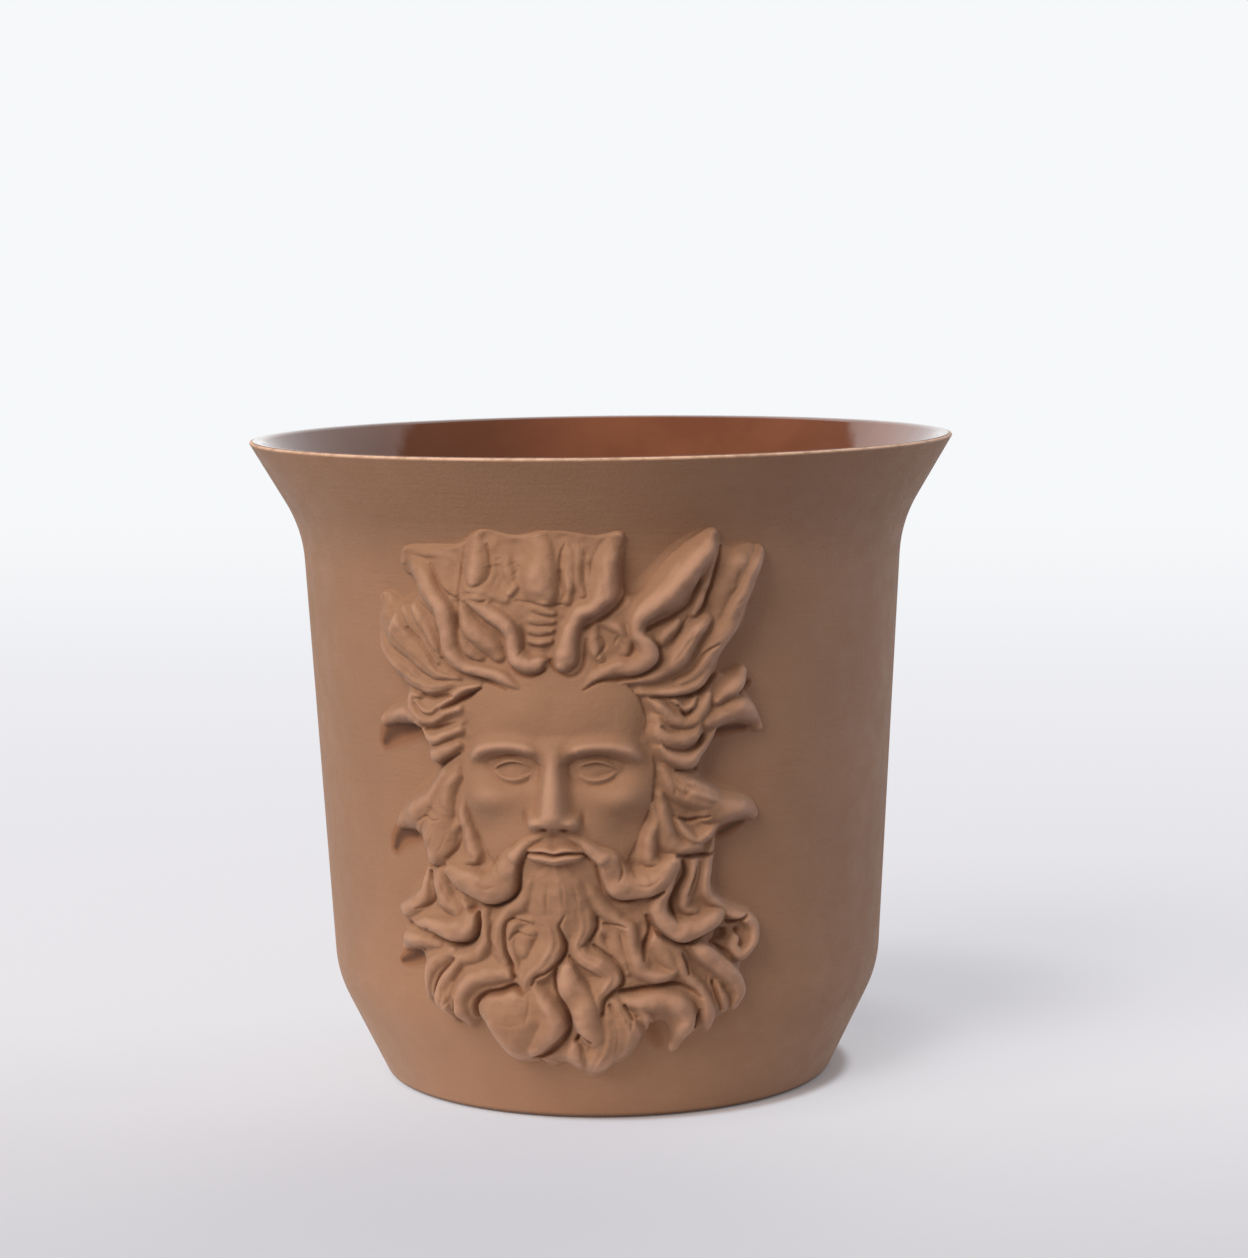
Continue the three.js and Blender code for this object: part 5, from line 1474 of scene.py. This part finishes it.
recess = [
    (0.0, foot_recess),
    (foot_radius - foot_ring_width - foot_recess, foot_recess),
    foot_ring_inside,
]
lip_top = [
    from_rim(0.1, 0.13),
    from_rim(0.3, 0.05),
    from_rim(0.5, 0.12),
    from_rim(lip_thickness - lip_shoulder, 0.22),
]
body_profile = recess + outer_profile + lip_top + inner_profile(0.0)[::-1]
as_piece("cup_wall", turned_mesh("cup_wall", body_profile), clay_of_wall, ["cup_body"])

glaze_over_lip = [
    from_rim(lip_thickness - lip_shoulder, 0.18),
    from_rim(0.5, 0.08),
    from_rim(0.42, 0.03),
    from_rim(0.6, 0.0),
    from_rim(lip_thickness, 0.1),
]
lining_profile = (
    inner_profile(glaze_gap) + glaze_over_lip + inner_profile(glaze_gap + glaze_thickness)[::-1]
)
lining_mesh = turned_mesh("cup_lining", lining_profile)
as_piece("cup_lining", lining_mesh, lining_glaze(), ["glaze_lining"])

# Mask

first_words = {
    "crown": ("crown", "plume", "forelock", "brow"),
    "side": ("temple", "cheek", "jaw"),
    "beard": ("beard",),
}


def nodes_of(piece):
    """The CAD nodes that a mask piece stands for."""
    if piece == "face":
        return ["face_pad"]
    if piece == "moustache":
        return [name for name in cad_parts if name.startswith("moustache")]
    region, hand = piece.split("_")
    chosen = [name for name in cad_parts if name.startswith(first_words[region])]
    on_left = [name for name in chosen if "left" in name or name in ("plume", "plume_stem")]
    return on_left if hand == "left" else [name for name in chosen if name not in on_left]


group_names, groups = group_map()
stands_out = softened((relief > seen_from).astype(float), border_softness)[:-1, :-1] > border_share
for number, name in enumerate(group_names):
    cells = stands_out & (groups[:-1, :-1] == number)
    piece_name = "mask_" + name
    as_piece(piece_name, relief_mesh(piece_name, cells), clay_of_mask, nodes_of(name))


# Stage


def floor_sheet():
    work = bmesh.new()
    bmesh.ops.create_grid(work, x_segments=8, y_segments=8, size=6.0)
    mesh = bpy.data.meshes.new("floor")
    work.to_mesh(mesh)
    work.free()
    mesh.materials.append(floor_paper())
    sheet = bpy.data.objects.new("floor", mesh)
    bpy.context.collection.objects.link(sheet)


def studio_light():
    """A pale room, warmer in front: the glaze mirrors its backdrop, and hardly mirrors its front."""
    world = bpy.data.worlds.new("studio")
    bpy.context.scene.world = world
    world.use_nodes = True
    tree = world.node_tree
    sky = tree.nodes["Background"]
    direction = tree.nodes.new("ShaderNodeTexCoord")
    apart = tree.nodes.new("ShaderNodeSeparateXYZ")
    tree.links.new(direction.outputs["Generated"], apart.inputs["Vector"])
    rays = tree.nodes.new("ShaderNodeLightPath")

    def ranged(source, low, high, out_low, out_high):
        node = tree.nodes.new("ShaderNodeMapRange")
        tree.links.new(source, node.inputs["Value"])
        node.inputs["From Min"].default_value = low
        node.inputs["From Max"].default_value = high
        for value, target in ((out_low, node.inputs["To Min"]), (out_high, node.inputs["To Max"])):
            if isinstance(value, float):
                target.default_value = value
            else:
                tree.links.new(value, target)
        return node.outputs["Result"]

    mirror_turn = 0.092
    mirror_edge = (0.44, 0.485)
    front_strength = 0.15
    backdrop_left = 1.45
    backdrop_right = 0.85
    room_left = 0.5
    room_right = 0.61
    rightward = apart.outputs["X"]
    backward = apart.outputs["Y"]
    turned = tree.nodes.new("ShaderNodeMath")
    turned.operation = "MULTIPLY_ADD"
    turned.inputs[1].default_value = mirror_turn
    tree.links.new(rightward, turned.inputs[0])
    tree.links.new(backward, turned.inputs[2])
    backdrop = ranged(rightward, -0.5, 0.5, backdrop_left, backdrop_right)
    mirrored = ranged(turned.outputs["Value"], *mirror_edge, front_strength, backdrop)
    room = ranged(rightward, -0.8, 0.8, room_left, room_right)
    lit = ranged(rays.outputs["Is Glossy Ray"], 0.0, 1.0, room, mirrored)
    strength = ranged(rays.outputs["Is Camera Ray"], 0.0, 1.0, lit, 1.0)
    tree.links.new(strength, sky.inputs["Strength"])

    frontward = ranged(backward, -0.6, 0.6, 1.0, 0.0)
    warmth = ranged(rays.outputs["Is Camera Ray"], 0.0, 1.0, frontward, 0.0)
    tint = tree.nodes.new("ShaderNodeMix")
    tint.data_type = "RGBA"
    tint.inputs["A"].default_value = backdrop_white
    tint.inputs["B"].default_value = room_front
    tree.links.new(warmth, tint.inputs["Factor"])
    tree.links.new(tint.outputs["Result"], sky.inputs["Color"])


def soft_lamp(name, power, size, colour, place, target):
    lamp = bpy.data.lights.new(name, "AREA")
    lamp.color = colour
    lamp.energy = power
    lamp.size = size
    holder = bpy.data.objects.new(name, lamp)
    bpy.context.collection.objects.link(holder)
    holder.location = place
    holder.rotation_euler = (Vector(target) - Vector(place)).to_track_quat("-Z", "Y").to_euler()


# Camera, as fitted to the photograph's rim, wall and foot
view_distance = 430.0
view_height = 108.2
view_side = math.radians(8.4)
view_down = math.radians(6.76)
view_turn = math.radians(0.355)
view_roll = math.radians(0.72)
focal_pixels = 3342.0
image_height = 1258.0


def photo_camera():
    data = bpy.data.cameras.new("camera")
    data.sensor_width = 36.0
    data.lens = data.sensor_width * focal_pixels / image_height
    data.clip_start = 0.01
    holder = bpy.data.objects.new("camera", data)
    bpy.context.collection.objects.link(holder)
    right = Vector((math.cos(view_turn), -math.sin(view_turn), 0.0))
    ahead = Vector((
        math.sin(view_turn) * math.cos(view_down),
        math.cos(view_turn) * math.cos(view_down),
        -math.sin(view_down),
    ))
    up = right.cross(ahead)
    tilted_right = math.cos(view_roll) * right - math.sin(view_roll) * up
    tilted_up = math.sin(view_roll) * right + math.cos(view_roll) * up
    turned = Matrix((tilted_right, tilted_up, -ahead)).transposed().to_4x4()
    turned.translation = Vector((0.0, -view_distance, view_height)) * MM
    holder.matrix_world = Matrix.Rotation(view_side, 4, "Z") @ turned
    bpy.context.scene.camera = holder


floor_sheet()
studio_light()
soft_lamp(
    "key",
    power=20.0,
    size=0.9,
    colour=(1.0, 0.935, 0.84),
    place=(-0.625, -0.962, 0.843),
    target=(0.0, 0.0, 0.04),
)
soft_lamp(
    "fill",
    power=2.7,
    size=0.8,
    colour=(0.8, 0.88, 1.0),
    place=(0.92, 0.42, 0.35),
    target=(0.0, 0.0, 0.05),
)
photo_camera()

bpy.context.scene.view_settings.view_transform = "Standard"
